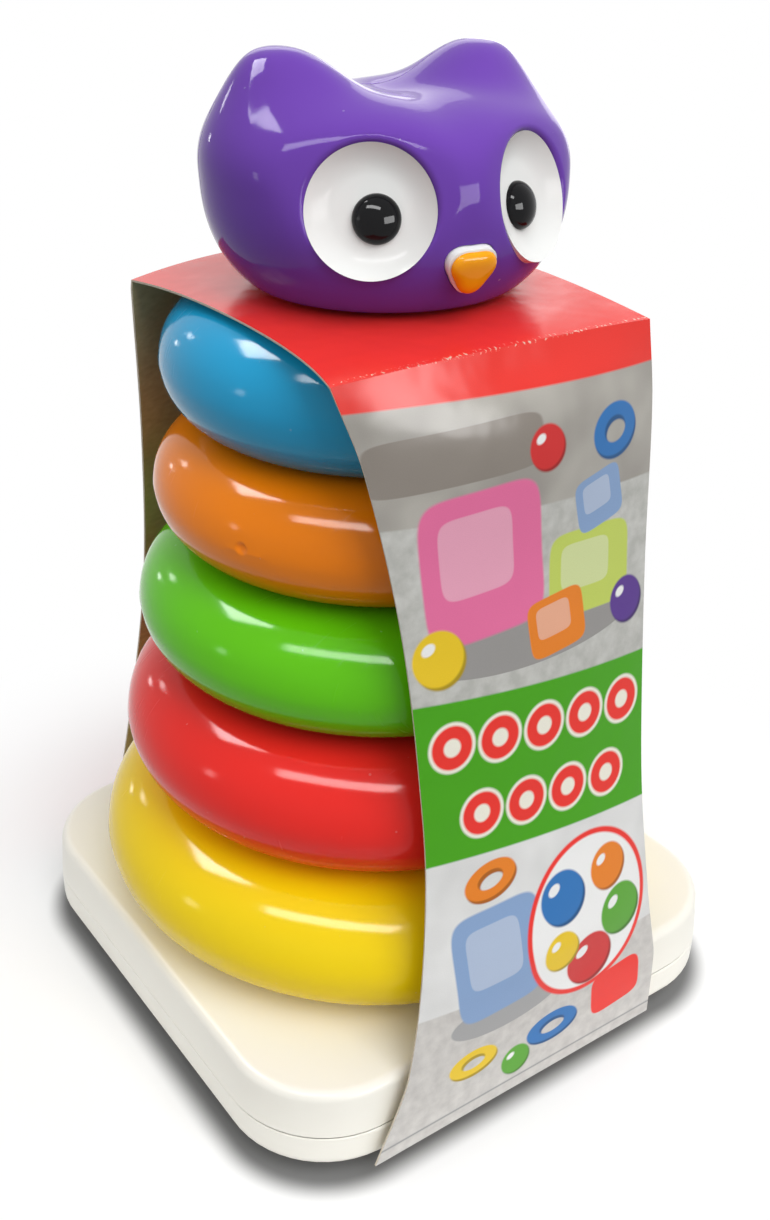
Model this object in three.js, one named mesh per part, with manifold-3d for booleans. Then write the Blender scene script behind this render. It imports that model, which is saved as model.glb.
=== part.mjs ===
// Stacking ring toy: a rocking base with a tapered post, five hollow rings, an owl head that
// rattles, and the folded card sleeve that holds the stack together.
// Millimetres, +Z up. The origin is on the floor under the post, and the owl looks towards -Y.
import * as THREE from "three";
import { mergeVertices } from "three/addons/utils/BufferGeometryUtils.js";
import Module from "manifold-3d";

// Base: two plastic shells, the lower one with a shallow rocker underneath.
const baseWidth = 150;
const baseCornerRadius = 27;
const baseHeight = 28.4;
const baseDraft = 0.9;
const baseEdgeRadius = 2.6;
const baseWall = 2.2;
const rockerFlatRadius = 30;
const rockerRise = 5.6;
const seamHeight = 15;
const lipHeight = 3;
const lipThickness = 1.5;

// Four self-tapping screws, driven from underneath.
const screwSpacing = 94;
const screwShankRadius = 1.5;
const screwHeadRadius = 3.1;
const screwHeadHeight = 2.2;
const screwLength = 13;
const screwSeatHeight = 10;
const bossWall = 2.9;

// Post: a hollow cone that reaches up into the head, flanged under the top of the base.
const postFootDiameter = 44;
const postTipDiameter = 14;
const postTipLength = 20;
const postTipRound = 2;
const postWall = 2.2;
const postFlangeWidth = 2;
const postFlangeThickness = 2;

// Rings, from the base upwards: outer diameter, bore and height of each.
const ringSizes = [
  { name: "ring_yellow", diameter: baseWidth, bore: 67, height: 36, color: 0xf0cc14 },
  { name: "ring_red", diameter: 134.5, bore: 58.5, height: 36, color: 0xd8232c },
  { name: "ring_green", diameter: 124, bore: 53, height: 32, color: 0x4caf2a },
  { name: "ring_orange", diameter: 113.5, bore: 48, height: 30, color: 0xe8791c },
  { name: "ring_blue", diameter: 107.5, bore: 42.5, height: 31.5, color: 0x2b93c4 },
];
const ringWall = 1.8;
const ventRadius = 1.1;

// Owl head: an ellipsoid with two ears, a saddle between them, and a flat place for each eye.
const headHalfWidth = 42.5;
const headHalfDepth = 40.4;
const headCrown = 20.3;
const headChin = 33;
const headCentreAboveSeat = 25.8;
const headFullness = 2.43;
const headWall = 2.2;
const headTurn = THREE.MathUtils.degToRad(-8);
const earRise = 11.9;
const earSpread = 0.293;
const earDepth = 0.373;
const earElevation = THREE.MathUtils.degToRad(42.9);
const earLean = THREE.MathUtils.degToRad(6.6);
const headJointDepth = 8;
const saddleDepth = 6.3;
const saddleSpread = 0.504;
const edgeSoftness = 1.2;

// Face: round dished eyes with domed pupils, and a beak, all carried by one white insert.
const eyeRadius = 13.8;
const eyeCentre = new THREE.Vector3(20.1, -31.6, -1.6);
const eyeAzimuth = THREE.MathUtils.degToRad(29);
const eyeElevation = THREE.MathUtils.degToRad(15);
const dishRecess = 0.7;
const dishDepth = 3;
const dishThickness = 1.8;
const insertThickness = 1.6;
const pupilRadius = 5.2;
const pupilInward = 1.2;
const pupilDrop = 1.2;
const pupilRise = 3.4;
const pupilPegRadius = 1.5;
const pupilPegLength = 3.6;
const beakWidth = 10.2;
const beakHeight = 9.8;
const beakDrop = 13.8;
const beakRise = 3.2;
const beakCoreRise = 1.3;
const beakBorder = 0.6;

// Socket in the head: a tapered cup over the tip of the post, with beads rattling round it.
const socketWall = 1.8;
const socketFlangeWidth = 1.4;
const socketFlangeThickness = 1.5;
const beadRadius = 3.4;
const beadCount = 5;

// Card sleeve: one strip over the stack, with curved-in side edges and a hole for the post.
const cardThickness = 0.5;
const cardHoleDiameter = 46;
const cardBottomHeight = 6.5;
const cardCrown = 1.2;
const cardCornerDroop = 2.6;
const frontFoldReach = 48.6;
const frontFoldBulge = 1.4;
const backFoldReach = 41;
const backFoldBulge = 8;
const topHalfWidth = 41.8;
const topDrift = -2.5;
// Share of the panel's height, half width there, and sideways drift of the hanging card.
const frontOutline = [
  [0, 45.8, -7.3],
  [0.1, 41.6, -3.6],
  [0.22, 37.4, -1.4],
  [0.37, 34.5, 0],
  [0.48, 34.2, 0.5],
  [0.7, 36, 0.8],
  [0.9, 40.6, -0.6],
  [1, 43.5, -3.9],
];
const backOutline = [
  [0, 46, -2],
  [0.22, 42, -2],
  [0.5, 38.4, -2],
  [0.75, 39.6, -2],
  [1, 43.8, -2],
];

// Clearances.
const seatGap = 0.3;
const slideGap = 0.6;
const socketGap = 4.9;
const cardGap = 0.8;
const panelGap = 2.4;

// Facets round a full turn.
const fineFacets = 24;
const coarseFacets = 12;
const smallFacets = 8;
// Sides of a ring's oval section: the flat ones at top and bottom are where the rings rest.
const ringSides = 12;

const wasm = await Module();
wasm.setup();

// A closed geometry with shared corners and no collapsed triangles.
function closed(geometry) {
  const bare = new THREE.BufferGeometry();
  bare.setAttribute("position", geometry.getAttribute("position"));
  if (geometry.index) bare.setIndex(geometry.index);
  const merged = mergeVertices(bare, 1e-4);
  const kept = [];
  const index = merged.index.array;
  for (let i = 0; i < index.length; i += 3) {
    const [a, b, c] = [index[i], index[i + 1], index[i + 2]];
    if (a !== b && b !== c && c !== a) kept.push(a, b, c);
  }
  merged.setIndex(kept);
  return merged;
}

function toSolid(geometry) {
  const merged = closed(geometry);
  return new wasm.Manifold(
    new wasm.Mesh({
      numProp: 3,
      vertProperties: new Float32Array(merged.getAttribute("position").array),
      triVerts: new Uint32Array(merged.index.array),
    }),
  );
}

function toGeometry(solid) {
  const mesh = solid.getMesh();
  const geometry = new THREE.BufferGeometry();
  geometry.setAttribute("position", new THREE.BufferAttribute(mesh.vertProperties, 3));
  geometry.setIndex(new THREE.BufferAttribute(mesh.triVerts, 1));
  return geometry;
}

const join = (first, ...others) =>
  toGeometry(others.reduce((sum, g) => sum.add(toSolid(g)), toSolid(first)));
const cut = (first, ...tools) =>
  toGeometry(tools.reduce((rest, g) => rest.subtract(toSolid(g)), toSolid(first)));
const common = (first, second) => toGeometry(toSolid(first).intersect(toSolid(second)));

// A solid of revolution about Z from [radius, height] points, listed with the solid on their left.
function turned(profile, facets = fineFacets) {
  const points = profile.map(([r, z]) => new THREE.Vector2(r, z));
  return closed(new THREE.LatheGeometry(points, facets).rotateX(Math.PI / 2));
}

// A cylinder along Z between two heights.
function rod(radius, low, high, facets = coarseFacets) {
  return turned([[0, low], [radius, low], [radius, high], [0, high]], facets);
}

// Joins rows of points, all of one length, into a skin. Rows run round the solid when looped.
function skin(rows, { loopRows = false, loopPoints = true } = {}) {
  const width = rows[0].length;
  const positions = rows.flat().flatMap((p) => [p.x, p.y, p.z]);
  const index = [];
  const lastRow = loopRows ? rows.length : rows.length - 1;
  const lastPoint = loopPoints ? width : width - 1;
  for (let i = 0; i < lastRow; i++) {
    for (let j = 0; j < lastPoint; j++) {
      const a = i * width + j;
      const b = i * width + ((j + 1) % width);
      const c = ((i + 1) % rows.length) * width + j;
      const d = ((i + 1) % rows.length) * width + ((j + 1) % width);
      index.push(a, b, d, a, d, c);
    }
  }
  const geometry = new THREE.BufferGeometry();
  geometry.setAttribute("position", new THREE.Float32BufferAttribute(positions, 3));
  geometry.setIndex(index);
  return closed(geometry);
}

// One level outline of the base: a square with round corners, or a circle where radius = half.
function squareRow(half, radius, z, facets = fineFacets) {
  const perCorner = facets / 4;
  const centre = half - radius;
  const row = [];
  for (let corner = 0; corner < 4; corner++) {
    const cx = corner === 0 || corner === 3 ? centre : -centre;
    const cy = corner < 2 ? centre : -centre;
    for (let i = 0; i <= perCorner; i++) {
      const angle = ((corner + i / perCorner) * Math.PI) / 2;
      const x = cx + radius * Math.cos(angle);
      const y = cy + radius * Math.sin(angle);
      row.push(new THREE.Vector3(x, y, z));
    }
  }
  return row;
}

// A solid whose level sections are base outlines, from [inset, height] points, solid on the left.
function squareTurned(profile) {
  const half = baseWidth / 2;
  const rows = profile.map(([inset, z]) => {
    const size = half - inset;
    const roundness = Math.min(1, inset / (half - rockerFlatRadius));
    return squareRow(size, Math.min(size, Math.max(baseCornerRadius - inset, size * roundness)), z);
  });
  return skin(rows, { loopRows: true });
}

// The underside of the rocker: flat in the middle, rising towards the wall.
function rockerProfile(offset) {
  const half = baseWidth / 2;
  const reach = half - baseEdgeRadius - rockerFlatRadius;
  const points = [[half, offset]];
  const steps = 3;
  for (let i = 0; i <= steps; i++) {
    const outwards = i / steps;
    const rise = rockerRise * outwards * outwards;
    points.push([half - rockerFlatRadius - reach * outwards, offset + rise]);
  }
  return points;
}

const screwPlaces = [
  [1, 1],
  [-1, 1],
  [-1, -1],
  [1, -1],
].map(([x, y]) => [(x * screwSpacing) / 2, (y * screwSpacing) / 2]);

// Heights of the stacked rings: each rests on the one below with the seat gap between.
const rings = [];
let stackTop = baseHeight;
for (const size of ringSizes) {
  const bottom = stackTop + seatGap;
  rings.push({ ...size, middle: bottom + size.height / 2 });
  stackTop = bottom + size.height;
}

// The head is seated on the card on top of the stack, and the tip of the post stands in its socket.
const cardTop = stackTop + cardGap + cardThickness;
const headSeat = cardTop + seatGap;
const headCentre = headSeat + headCentreAboveSeat;
const postTipHeight = headSeat + postTipLength;

const postRadiusAt = (z) =>
  THREE.MathUtils.mapLinear(z, baseHeight, postTipHeight, postFootDiameter, postTipDiameter) / 2;
const postFlangeRadius = postFootDiameter / 2 + postFlangeWidth;
const postFlangeTop = baseHeight - baseWall - seatGap;

function baseTopShell() {
  const outerTop = baseHeight;
  const innerTop = baseHeight - baseWall;
  const bottom = seamHeight + seatGap;
  const half = baseWidth / 2;
  const edge = baseEdgeRadius;
  const rounded = [0, 1, 2, 3].map((i) => {
    const angle = (i / 3) * (Math.PI / 2);
    const inset = baseDraft + edge - edge * Math.cos(angle);
    return [inset, outerTop - edge + edge * Math.sin(angle)];
  });
  const shell = squareTurned([
    [baseWall, bottom],
    [0, bottom],
    ...rounded,
    [half, outerTop],
    [half, innerTop],
    [baseDraft + baseWall, innerTop],
  ]);
  const collarInside = postFlangeRadius + slideGap;
  const collarFoot = postFlangeTop - postFlangeThickness;
  const collar = cut(
    rod(collarInside + bossWall, collarFoot, outerTop - 1, fineFacets),
    rod(collarInside, 0, innerTop, fineFacets),
  );
  const bosses = screwPlaces.map(([x, y]) =>
    rod(screwShankRadius + seatGap + bossWall, seamHeight + lipHeight, outerTop - 1, coarseFacets)
      .translate(x, y, 0),
  );
  const pilotTop = screwSeatHeight + screwLength + 1;
  const pilots = screwPlaces.map(([x, y]) =>
    rod(screwShankRadius + seatGap, 0, pilotTop, smallFacets).translate(x, y, 0),
  );
  const postHole = rod(postRadiusAt(innerTop) + slideGap, 0, outerTop + 1, fineFacets);
  return cut(join(shell, collar, ...bosses), postHole, ...pilots);
}

function baseRocker() {
  const half = baseWidth / 2;
  const outer = rockerProfile(0);
  const inner = rockerProfile(baseWall).reverse();
  const lip = baseDraft + baseWall + slideGap;
  const shell = squareTurned([
    ...outer,
    [baseEdgeRadius * 0.3, rockerRise + baseEdgeRadius * 0.3],
    [0, rockerRise + baseEdgeRadius],
    [0, seamHeight],
    [lip, seamHeight],
    [lip, seamHeight + lipHeight],
    [lip + lipThickness, seamHeight + lipHeight],
    [lip + lipThickness, rockerRise + baseWall + baseEdgeRadius],
    ...inner,
  ]);
  const seatTop = postFlangeTop - postFlangeThickness - seatGap;
  const seat = cut(
    rod(postFlangeRadius - 1, baseWall / 2, seatTop, fineFacets),
    rod(postFlangeRadius - 1 - baseWall, 0, seatTop + 1, fineFacets),
  );
  const pillarRadius = screwHeadRadius + seatGap + bossWall / 2;
  const inside = squareTurned([...outer, [0, rockerRise + baseEdgeRadius], [0, half], [half, half]]);
  const pillars = screwPlaces.map(([x, y]) =>
    common(inside, rod(pillarRadius, 0, seamHeight + lipHeight - seatGap).translate(x, y, 0)),
  );
  const bores = screwPlaces.flatMap(([x, y]) => [
    rod(screwHeadRadius + seatGap, -1, screwSeatHeight, coarseFacets).translate(x, y, 0),
    rod(screwShankRadius + seatGap, -1, half, smallFacets).translate(x, y, 0),
  ]);
  return cut(join(shell, seat, ...pillars), ...bores);
}

function baseScrew() {
  const headTop = screwSeatHeight - seatGap;
  const headBottom = headTop - screwHeadHeight;
  const tip = headTop + screwLength;
  const dome = 0.4 * screwHeadHeight;
  return turned(
    [
      [0, headBottom],
      [screwHeadRadius * 0.7, headBottom],
      [screwHeadRadius, headBottom + dome],
      [screwHeadRadius, headTop],
      [screwShankRadius, headTop],
      [screwShankRadius, tip - 2 * screwShankRadius],
      [0, tip],
    ],
    smallFacets,
  );
}

function post() {
  const flangeBottom = postFlangeTop - postFlangeThickness;
  const shoulder = postTipHeight - postTipRound;
  const innerTip = postTipHeight - postWall;
  const innerFoot = postRadiusAt(flangeBottom) - postWall;
  return turned([
    [innerFoot, flangeBottom],
    [postFlangeRadius, flangeBottom],
    [postFlangeRadius, postFlangeTop],
    [postRadiusAt(postFlangeTop), postFlangeTop],
    [postRadiusAt(shoulder), shoulder],
    [postRadiusAt(shoulder) - 0.3 * postTipRound, postTipHeight - 0.3 * postTipRound],
    [postRadiusAt(shoulder) - postTipRound, postTipHeight],
    [0, postTipHeight],
    [0, innerTip],
    [postRadiusAt(innerTip) - postWall, innerTip],
    [innerFoot, flangeBottom],
  ]);
}

// One oval loop of straight sides round the middle of a ring's tube, seen in section.
function ovalProfile(centre, middle, halfWidth, halfHeight, sides) {
  const points = [];
  for (let i = 0; i < sides; i++) {
    const angle = ((i + 0.5) / sides) * 2 * Math.PI;
    points.push([centre + halfWidth * Math.cos(angle), middle + halfHeight * Math.sin(angle)]);
  }
  points.push(points[0]);
  return points;
}

function ring({ diameter, bore, height, middle }) {
  const centre = (diameter + bore) / 4;
  const halfWidth = (diameter - bore) / 4;
  const around = 1 / Math.cos(Math.PI / ringSides);
  const outside = turned(
    ovalProfile(centre, middle, halfWidth * around, (height / 2) * around, ringSides),
    fineFacets,
  );
  const inside = turned(
    ovalProfile(centre, middle, halfWidth - ringWall, height / 2 - ringWall, ringSides / 2),
    coarseFacets,
  );
  const vent = rod(ventRadius, 0, halfWidth, smallFacets)
    .rotateY(Math.PI / 2)
    .translate(bore / 2 - ringWall, 0, middle);
  return cut(outside, inside, vent);
}

const eyeNormal = (side) =>
  new THREE.Vector3(
    side * Math.sin(eyeAzimuth) * Math.cos(eyeElevation),
    -Math.cos(eyeAzimuth) * Math.cos(eyeElevation),
    Math.sin(eyeElevation),
  );
const eyePlace = (side) => new THREE.Vector3(side * eyeCentre.x, eyeCentre.y, eyeCentre.z);

function softMin(a, b) {
  const low = Math.min(a, b);
  const gap = Math.abs(a - b) / edgeSoftness;
  return gap > 30 ? low : low - edgeSoftness * Math.log(1 + Math.exp(-gap));
}

// Distance along a unit direction from the head's centre to its surface, or to a layer set inside.
function headRadius(direction, inset = 0) {
  const { x, y, z } = direction;
  const level = Math.hypot(x / headHalfWidth, y / headHalfDepth);
  const upright = Math.abs(z) / (z > 0 ? headCrown : headChin);
  let radius = (level ** headFullness + upright ** headFullness) ** (-1 / headFullness);
  const roll = Math.atan2(Math.abs(x), z);
  const lean = Math.asin(THREE.MathUtils.clamp(y, -1, 1));
  const offEar = (roll - Math.PI / 2 + earElevation) / earSpread;
  radius += earRise * Math.exp(-(offEar ** 2) - ((lean - earLean) / earDepth) ** 2);
  if (z > 0) radius -= saddleDepth * z * Math.exp(-((roll / saddleSpread) ** 2));
  radius -= inset;
  for (const side of [-1, 1]) {
    const facing = direction.dot(eyeNormal(side));
    const flat = eyePlace(side).dot(eyeNormal(side)) - inset;
    if (facing > 0.2) radius = softMin(radius, flat / facing);
  }
  if (z < -0.2) radius = softMin(radius, (headCentreAboveSeat - inset) / -z);
  return radius;
}

// The head's whole form as a solid lump, set in by a distance, with its poles at front and rear.
function headLump(inset, bands, facets) {
  const rows = [];
  for (let i = 0; i <= bands; i++) {
    const polar = (i / bands) * Math.PI;
    const row = [];
    for (let j = 0; j < facets; j++) {
      const round = (j / facets) * 2 * Math.PI;
      const direction = new THREE.Vector3(
        Math.sin(polar) * Math.cos(round),
        -Math.cos(polar),
        -Math.sin(polar) * Math.sin(round),
      );
      row.push(direction.clone().multiplyScalar(headRadius(direction, inset)));
    }
    rows.push(row);
  }
  return skin(rows);
}

const headShell = cut(headLump(0, 20, 36), headLump(headWall, 15, 28));

// The part of the head in front of (-1) or behind (1) the joint through the tips of the ears.
function headHalf(side) {
  const reach = 2 * headHalfWidth;
  const half = new THREE.BoxGeometry(2 * reach, reach, 2 * reach);
  half.translate(0, headJointDepth + (side * (reach + seatGap)) / 2, 0);
  return common(headShell, half);
}

// Turns a solid made along +Z, with its top towards +Y, to stand on an eye's flat at its zero.
function ontoEye(geometry, side) {
  const normal = eyeNormal(side);
  const across = new THREE.Vector3(-normal.y, normal.x, 0).normalize();
  const turn = new THREE.Matrix4().makeBasis(across, normal.clone().cross(across), normal);
  const { x, y, z } = eyePlace(side);
  return geometry.applyMatrix4(turn).translate(x, y, z);
}

// The beak's outline: a triangle with round corners, point down, drawn wide and high.
function beakShape(grow) {
  const w = beakWidth / 2 + grow;
  const h = beakHeight / 2 + grow;
  const shape = new THREE.Shape();
  shape.moveTo(0, h);
  shape.bezierCurveTo(-0.8 * w, h, -1.15 * w, 0.75 * h, -0.85 * w, 0.1 * h);
  shape.bezierCurveTo(-0.55 * w, -0.6 * h, -0.3 * w, -h, 0, -h);
  shape.bezierCurveTo(0.3 * w, -h, 0.55 * w, -0.6 * h, 0.85 * w, 0.1 * h);
  shape.bezierCurveTo(1.15 * w, 0.75 * h, 0.8 * w, h, 0, h);
  return shape;
}

const beakSurface = (() => {
  const direction = new THREE.Vector3(0, -headHalfDepth, -beakDrop).normalize();
  return direction.multiplyScalar(headRadius(direction));
})();
const beakTilt = Math.atan2(beakDrop, headHalfDepth);

// A block of the beak's outline standing out of the face, with its front edge rounded by a dome.
function beakBlock(grow, back, front, dome = 0) {
  const outline = beakShape(grow).getPoints(5).slice(0, -1);
  const row = (scale, z) => outline.map((p) => new THREE.Vector3(p.x * scale, p.y * scale, z));
  const rows = [row(0, back), row(1, back), row(1, front - dome)];
  const steps = dome > 0 ? 4 : 0;
  for (let i = 1; i < steps; i++) {
    const angle = (i / steps) * (Math.PI / 2);
    rows.push(row(Math.sqrt(Math.cos(angle)), front - dome + dome * Math.sin(angle)));
  }
  rows.push(row(0, front));
  return skin(rows)
    .rotateX(Math.PI / 2 + beakTilt)
    .translate(beakSurface.x, beakSurface.y, beakSurface.z);
}

const socketBottom = headSeat + seatGap;
const socketInnerAt = (z) => postRadiusAt(z) + socketGap;
const socketOuterRadius = socketInnerAt(socketBottom) + socketWall;
const socketFlangeBottom = headSeat + headWall + seatGap;

function headFrontShell() {
  const eyes = [-1, 1].map((side) => ontoEye(rod(eyeRadius + seatGap, -9, 9, fineFacets), side));
  const beakHole = beakBlock(beakBorder + seatGap, -8, 6);
  return cut(headHalf(-1), ...eyes, beakHole, socketHole());
}

function headRearShell() {
  return cut(headHalf(1), socketHole());
}

function socketHole() {
  return rod(socketOuterRadius + seatGap, -headCentreAboveSeat - 2, -headCentreAboveSeat + 6, fineFacets);
}

// White carrier behind the face: both eye dishes and the core of the beak in one moulding.
function faceInsert() {
  const behind = headWall + 0.5;
  const skinPlate = cut(headLump(behind, 11, 20), headLump(behind + insertThickness, 11, 20));
  const window = new THREE.BoxGeometry(2 * eyeCentre.x + eyeRadius, 40, 1.9 * eyeRadius);
  window.translate(0, -headHalfDepth + 9, -0.35 * eyeRadius);
  const wells = [-1, 1].map((side) => ontoEye(rod(eyeRadius - 2, -15, 15, fineFacets), side));
  const plate = cut(common(skinPlate, window), ...wells);
  const dishes = [-1, 1].map((side) => ontoEye(eyeDish(side), side));
  const core = beakBlock(beakBorder, -behind - insertThickness, beakCoreRise);
  return join(plate, ...dishes, core);
}

const dishRim = eyeRadius - seatGap;
const dishFloor = -dishRecess - dishDepth;

// A pupil's place on an eye that looks along +Z with its top towards +Y.
const pupilShift = (side) => [-side * pupilInward, -pupilDrop, 0];

function eyeDish(side) {
  const seat = pupilRadius + Math.hypot(pupilInward, pupilDrop) + 0.4;
  const back = dishFloor - dishThickness;
  const bowl = [0, 1, 2].map((i) => {
    const along = i / 2;
    return [seat + (dishRim - seat) * along, dishFloor + dishDepth * along * along];
  });
  const dish = turned(
    [
      [0, back],
      [dishRim - 1.5, back],
      [dishRim, back + 1.5],
      [dishRim, -dishRecess],
      ...bowl.reverse(),
      [0, dishFloor],
    ],
    fineFacets,
  );
  const pegHole = rod(pupilPegRadius + seatGap, back - 1, dishFloor + 1, smallFacets);
  return cut(dish, pegHole.translate(...pupilShift(side)));
}

function pupil(side) {
  const base = dishFloor + seatGap;
  const dome = [1, 2, 3, 4].map((i) => {
    const angle = (i / 5) * (Math.PI / 2);
    return [pupilRadius * Math.cos(angle), base + pupilRise * Math.sin(angle)];
  });
  return turned(
    [
      [0, base - pupilPegLength],
      [pupilPegRadius, base - pupilPegLength],
      [pupilPegRadius, base],
      [pupilRadius, base],
      ...dome,
      [0, base + pupilRise],
    ],
    2 * smallFacets,
  ).translate(...pupilShift(side));
}

function headSocket() {
  const tip = postTipHeight + slideGap;
  const flangeTop = socketFlangeBottom + socketFlangeThickness;
  return turned([
    [socketInnerAt(socketBottom), socketBottom],
    [socketOuterRadius, socketBottom],
    [socketOuterRadius, socketFlangeBottom],
    [socketOuterRadius + socketFlangeWidth, socketFlangeBottom],
    [socketOuterRadius + socketFlangeWidth, flangeTop],
    [socketInnerAt(flangeTop) + socketWall, flangeTop],
    [socketInnerAt(tip) + socketWall, tip + socketWall],
    [0, tip + socketWall],
    [0, tip],
    [socketInnerAt(tip), tip],
    [socketInnerAt(socketBottom), socketBottom],
  ]);
}

const beadOrbit = socketOuterRadius + socketFlangeWidth + seatGap + beadRadius;
const beadHeight = headSeat + headWall + seatGap + beadRadius;

// A smooth value between the rows of an outline table.
function along(table, share, column) {
  let i = 1;
  while (i < table.length - 1 && share > table[i][0]) i++;
  const [low, high] = [table[i - 1], table[i]];
  const local = THREE.MathUtils.clamp((share - low[0]) / (high[0] - low[0]), 0, 1);
  const slope = (row) => {
    const before = table[Math.max(row - 1, 0)];
    const after = table[Math.min(row + 1, table.length - 1)];
    return (after[column] - before[column]) / (after[0] - before[0]);
  };
  const span = high[0] - low[0];
  const [t, u] = [local, 1 - local];
  return (
    low[column] * (1 + 2 * t) * u * u +
    high[column] * (3 - 2 * t) * t * t +
    span * (slope(i - 1) * t * u * u - slope(i) * t * t * u)
  );
}

// The outermost reach of the rings at a height.
function stackReach(z) {
  const reaches = rings.map(({ diameter, bore, height, middle }) => {
    const rise = (z - middle) / (height / 2);
    if (Math.abs(rise) >= 1) return 0;
    return (diameter + bore) / 4 + ((diameter - bore) / 4) * Math.sqrt(1 - rise * rise);
  });
  return Math.max(...reaches);
}

// Stations of the card strip from the front hem over the top to the back hem. Each has the side
// edges' reach and height, the middle's reach and height, the half width and the drift.
function cardStations() {
  const hemReach = baseWidth / 2 + panelGap + cardThickness;
  const foldHeight = cardTop - cardCornerDroop;
  const standOff = panelGap + cardThickness;
  const panel = (side, outline, foldReach, foldBulge) => {
    const heights = [cardBottomHeight, baseHeight, ...rings.map((r) => r.middle), foldHeight];
    const reaches = [hemReach, hemReach];
    rings.forEach((r) => reaches.push(r.diameter / 2 + standOff));
    reaches.push(foldReach + foldBulge);
    const dense = [];
    heights.forEach((z, i) => {
      if (i > 0) {
        const between = (z + heights[i - 1]) / 2;
        const straight = (reaches[i] + reaches[i - 1]) / 2;
        dense.push([between, Math.max(straight, stackReach(between) + standOff)]);
      }
      dense.push([z, reaches[i]]);
    });
    return dense.map(([z, middle], i) => {
      const share = (z - cardBottomHeight) / (foldHeight - cardBottomHeight);
      const lean = Math.max(0, (z - baseHeight) / (foldHeight - baseHeight));
      const edge = THREE.MathUtils.lerp(hemReach, foldReach, lean);
      const last = i === dense.length - 1;
      return {
        edge: [side * edge, z],
        middle: [side * Math.max(edge, middle), last ? cardTop - cardCrown : z],
        half: along(outline, share, 1),
        drift: along(outline, share, 2),
      };
    });
  };
  const front = panel(-1, frontOutline, frontFoldReach, frontFoldBulge);
  const back = panel(1, backOutline, backFoldReach, backFoldBulge).reverse();
  const top = [];
  const steps = 8;
  for (let i = 1; i < steps; i++) {
    const share = i / steps;
    const reach = THREE.MathUtils.lerp(-frontFoldReach, backFoldReach, share);
    const middle = THREE.MathUtils.lerp(
      -frontFoldReach - frontFoldBulge,
      backFoldReach + backFoldBulge,
      share,
    );
    const off = (2 * share - 1) ** 2;
    const ends = off ** 2;
    const frontHalf = frontOutline.at(-1)[1];
    top.push({
      edge: [reach, cardTop - cardCornerDroop * off],
      middle: [middle, cardTop - cardCrown * off * ends],
      half: THREE.MathUtils.lerp(topHalfWidth, frontHalf, ends),
      drift: THREE.MathUtils.lerp(topDrift, share < 0.5 ? frontOutline.at(-1)[2] : -2, ends),
    });
  }
  return [...front, ...top, ...back];
}

function cardSleeve() {
  const stations = cardStations();
  const across = 6;
  const outer = stations.map((s) => {
    const row = [];
    for (let i = 0; i <= across; i++) {
      const u = (2 * i) / across - 1;
      const bow = 1 - u * u;
      row.push(
        new THREE.Vector3(
          s.drift + s.half * u,
          THREE.MathUtils.lerp(s.edge[0], s.middle[0], bow),
          THREE.MathUtils.lerp(s.edge[1], s.middle[1], bow),
        ),
      );
    }
    return row;
  });
  const inner = outer.map((row, i) => {
    const before = outer[Math.max(i - 1, 0)];
    const after = outer[Math.min(i + 1, outer.length - 1)];
    return row.map((point, j) => {
      const along = after[j].clone().sub(before[j]);
      const inward = new THREE.Vector3(0, along.z, -along.y).normalize();
      return point.clone().addScaledVector(inward, cardThickness);
    });
  });
  const rows = outer.map((row, i) => [...row, ...inner[i].reverse()]);
  const strip = closeEnds(rows);
  return cut(strip, rod(cardHoleDiameter / 2, stackTop - 5, cardTop + 5, fineFacets));
}

// A skin over looped rows, with its first and last rows filled by flat fans.
function closeEnds(rows) {
  const middleOf = (row) => {
    const sum = row.reduce((total, p) => total.clone().add(p), new THREE.Vector3());
    return row.map(() => sum.clone().divideScalar(row.length));
  };
  return skin([middleOf(rows[0]), ...rows, middleOf(rows.at(-1))]);
}

const plastics = {
  cream: new THREE.MeshStandardMaterial({ color: 0xf6f2e4, roughness: 0.35 }),
  white: new THREE.MeshStandardMaterial({ color: 0xf4f4f0, roughness: 0.25 }),
  purple: new THREE.MeshStandardMaterial({ color: 0x6a3fae, roughness: 0.2 }),
  black: new THREE.MeshStandardMaterial({ color: 0x0c0c0e, roughness: 0.1 }),
  beak: new THREE.MeshStandardMaterial({ color: 0xf3921e, roughness: 0.3 }),
};
const steel = new THREE.MeshStandardMaterial({ color: 0xb8bcc0, roughness: 0.4, metalness: 1 });
const card = new THREE.MeshStandardMaterial({ color: 0xdc2f30, roughness: 0.45 });

const toy = new THREE.Group();

function add(parent, name, geometry, material) {
  const mesh = new THREE.Mesh(closed(geometry), material);
  mesh.name = name;
  parent.add(mesh);
  return mesh;
}

add(toy, "base_top_shell", baseTopShell(), plastics.cream);
add(toy, "base_rocker", baseRocker(), plastics.cream);
screwPlaces.forEach(([x, y], i) => {
  add(toy, `base_screw_${i + 1}`, baseScrew(), steel).position.set(x, y, 0);
});
add(toy, "post", post(), plastics.white);
for (const size of rings) {
  const colour = new THREE.MeshStandardMaterial({ color: size.color, roughness: 0.2 });
  add(toy, size.name, ring(size), colour);
}
add(toy, "card_sleeve", cardSleeve(), card);

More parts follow.
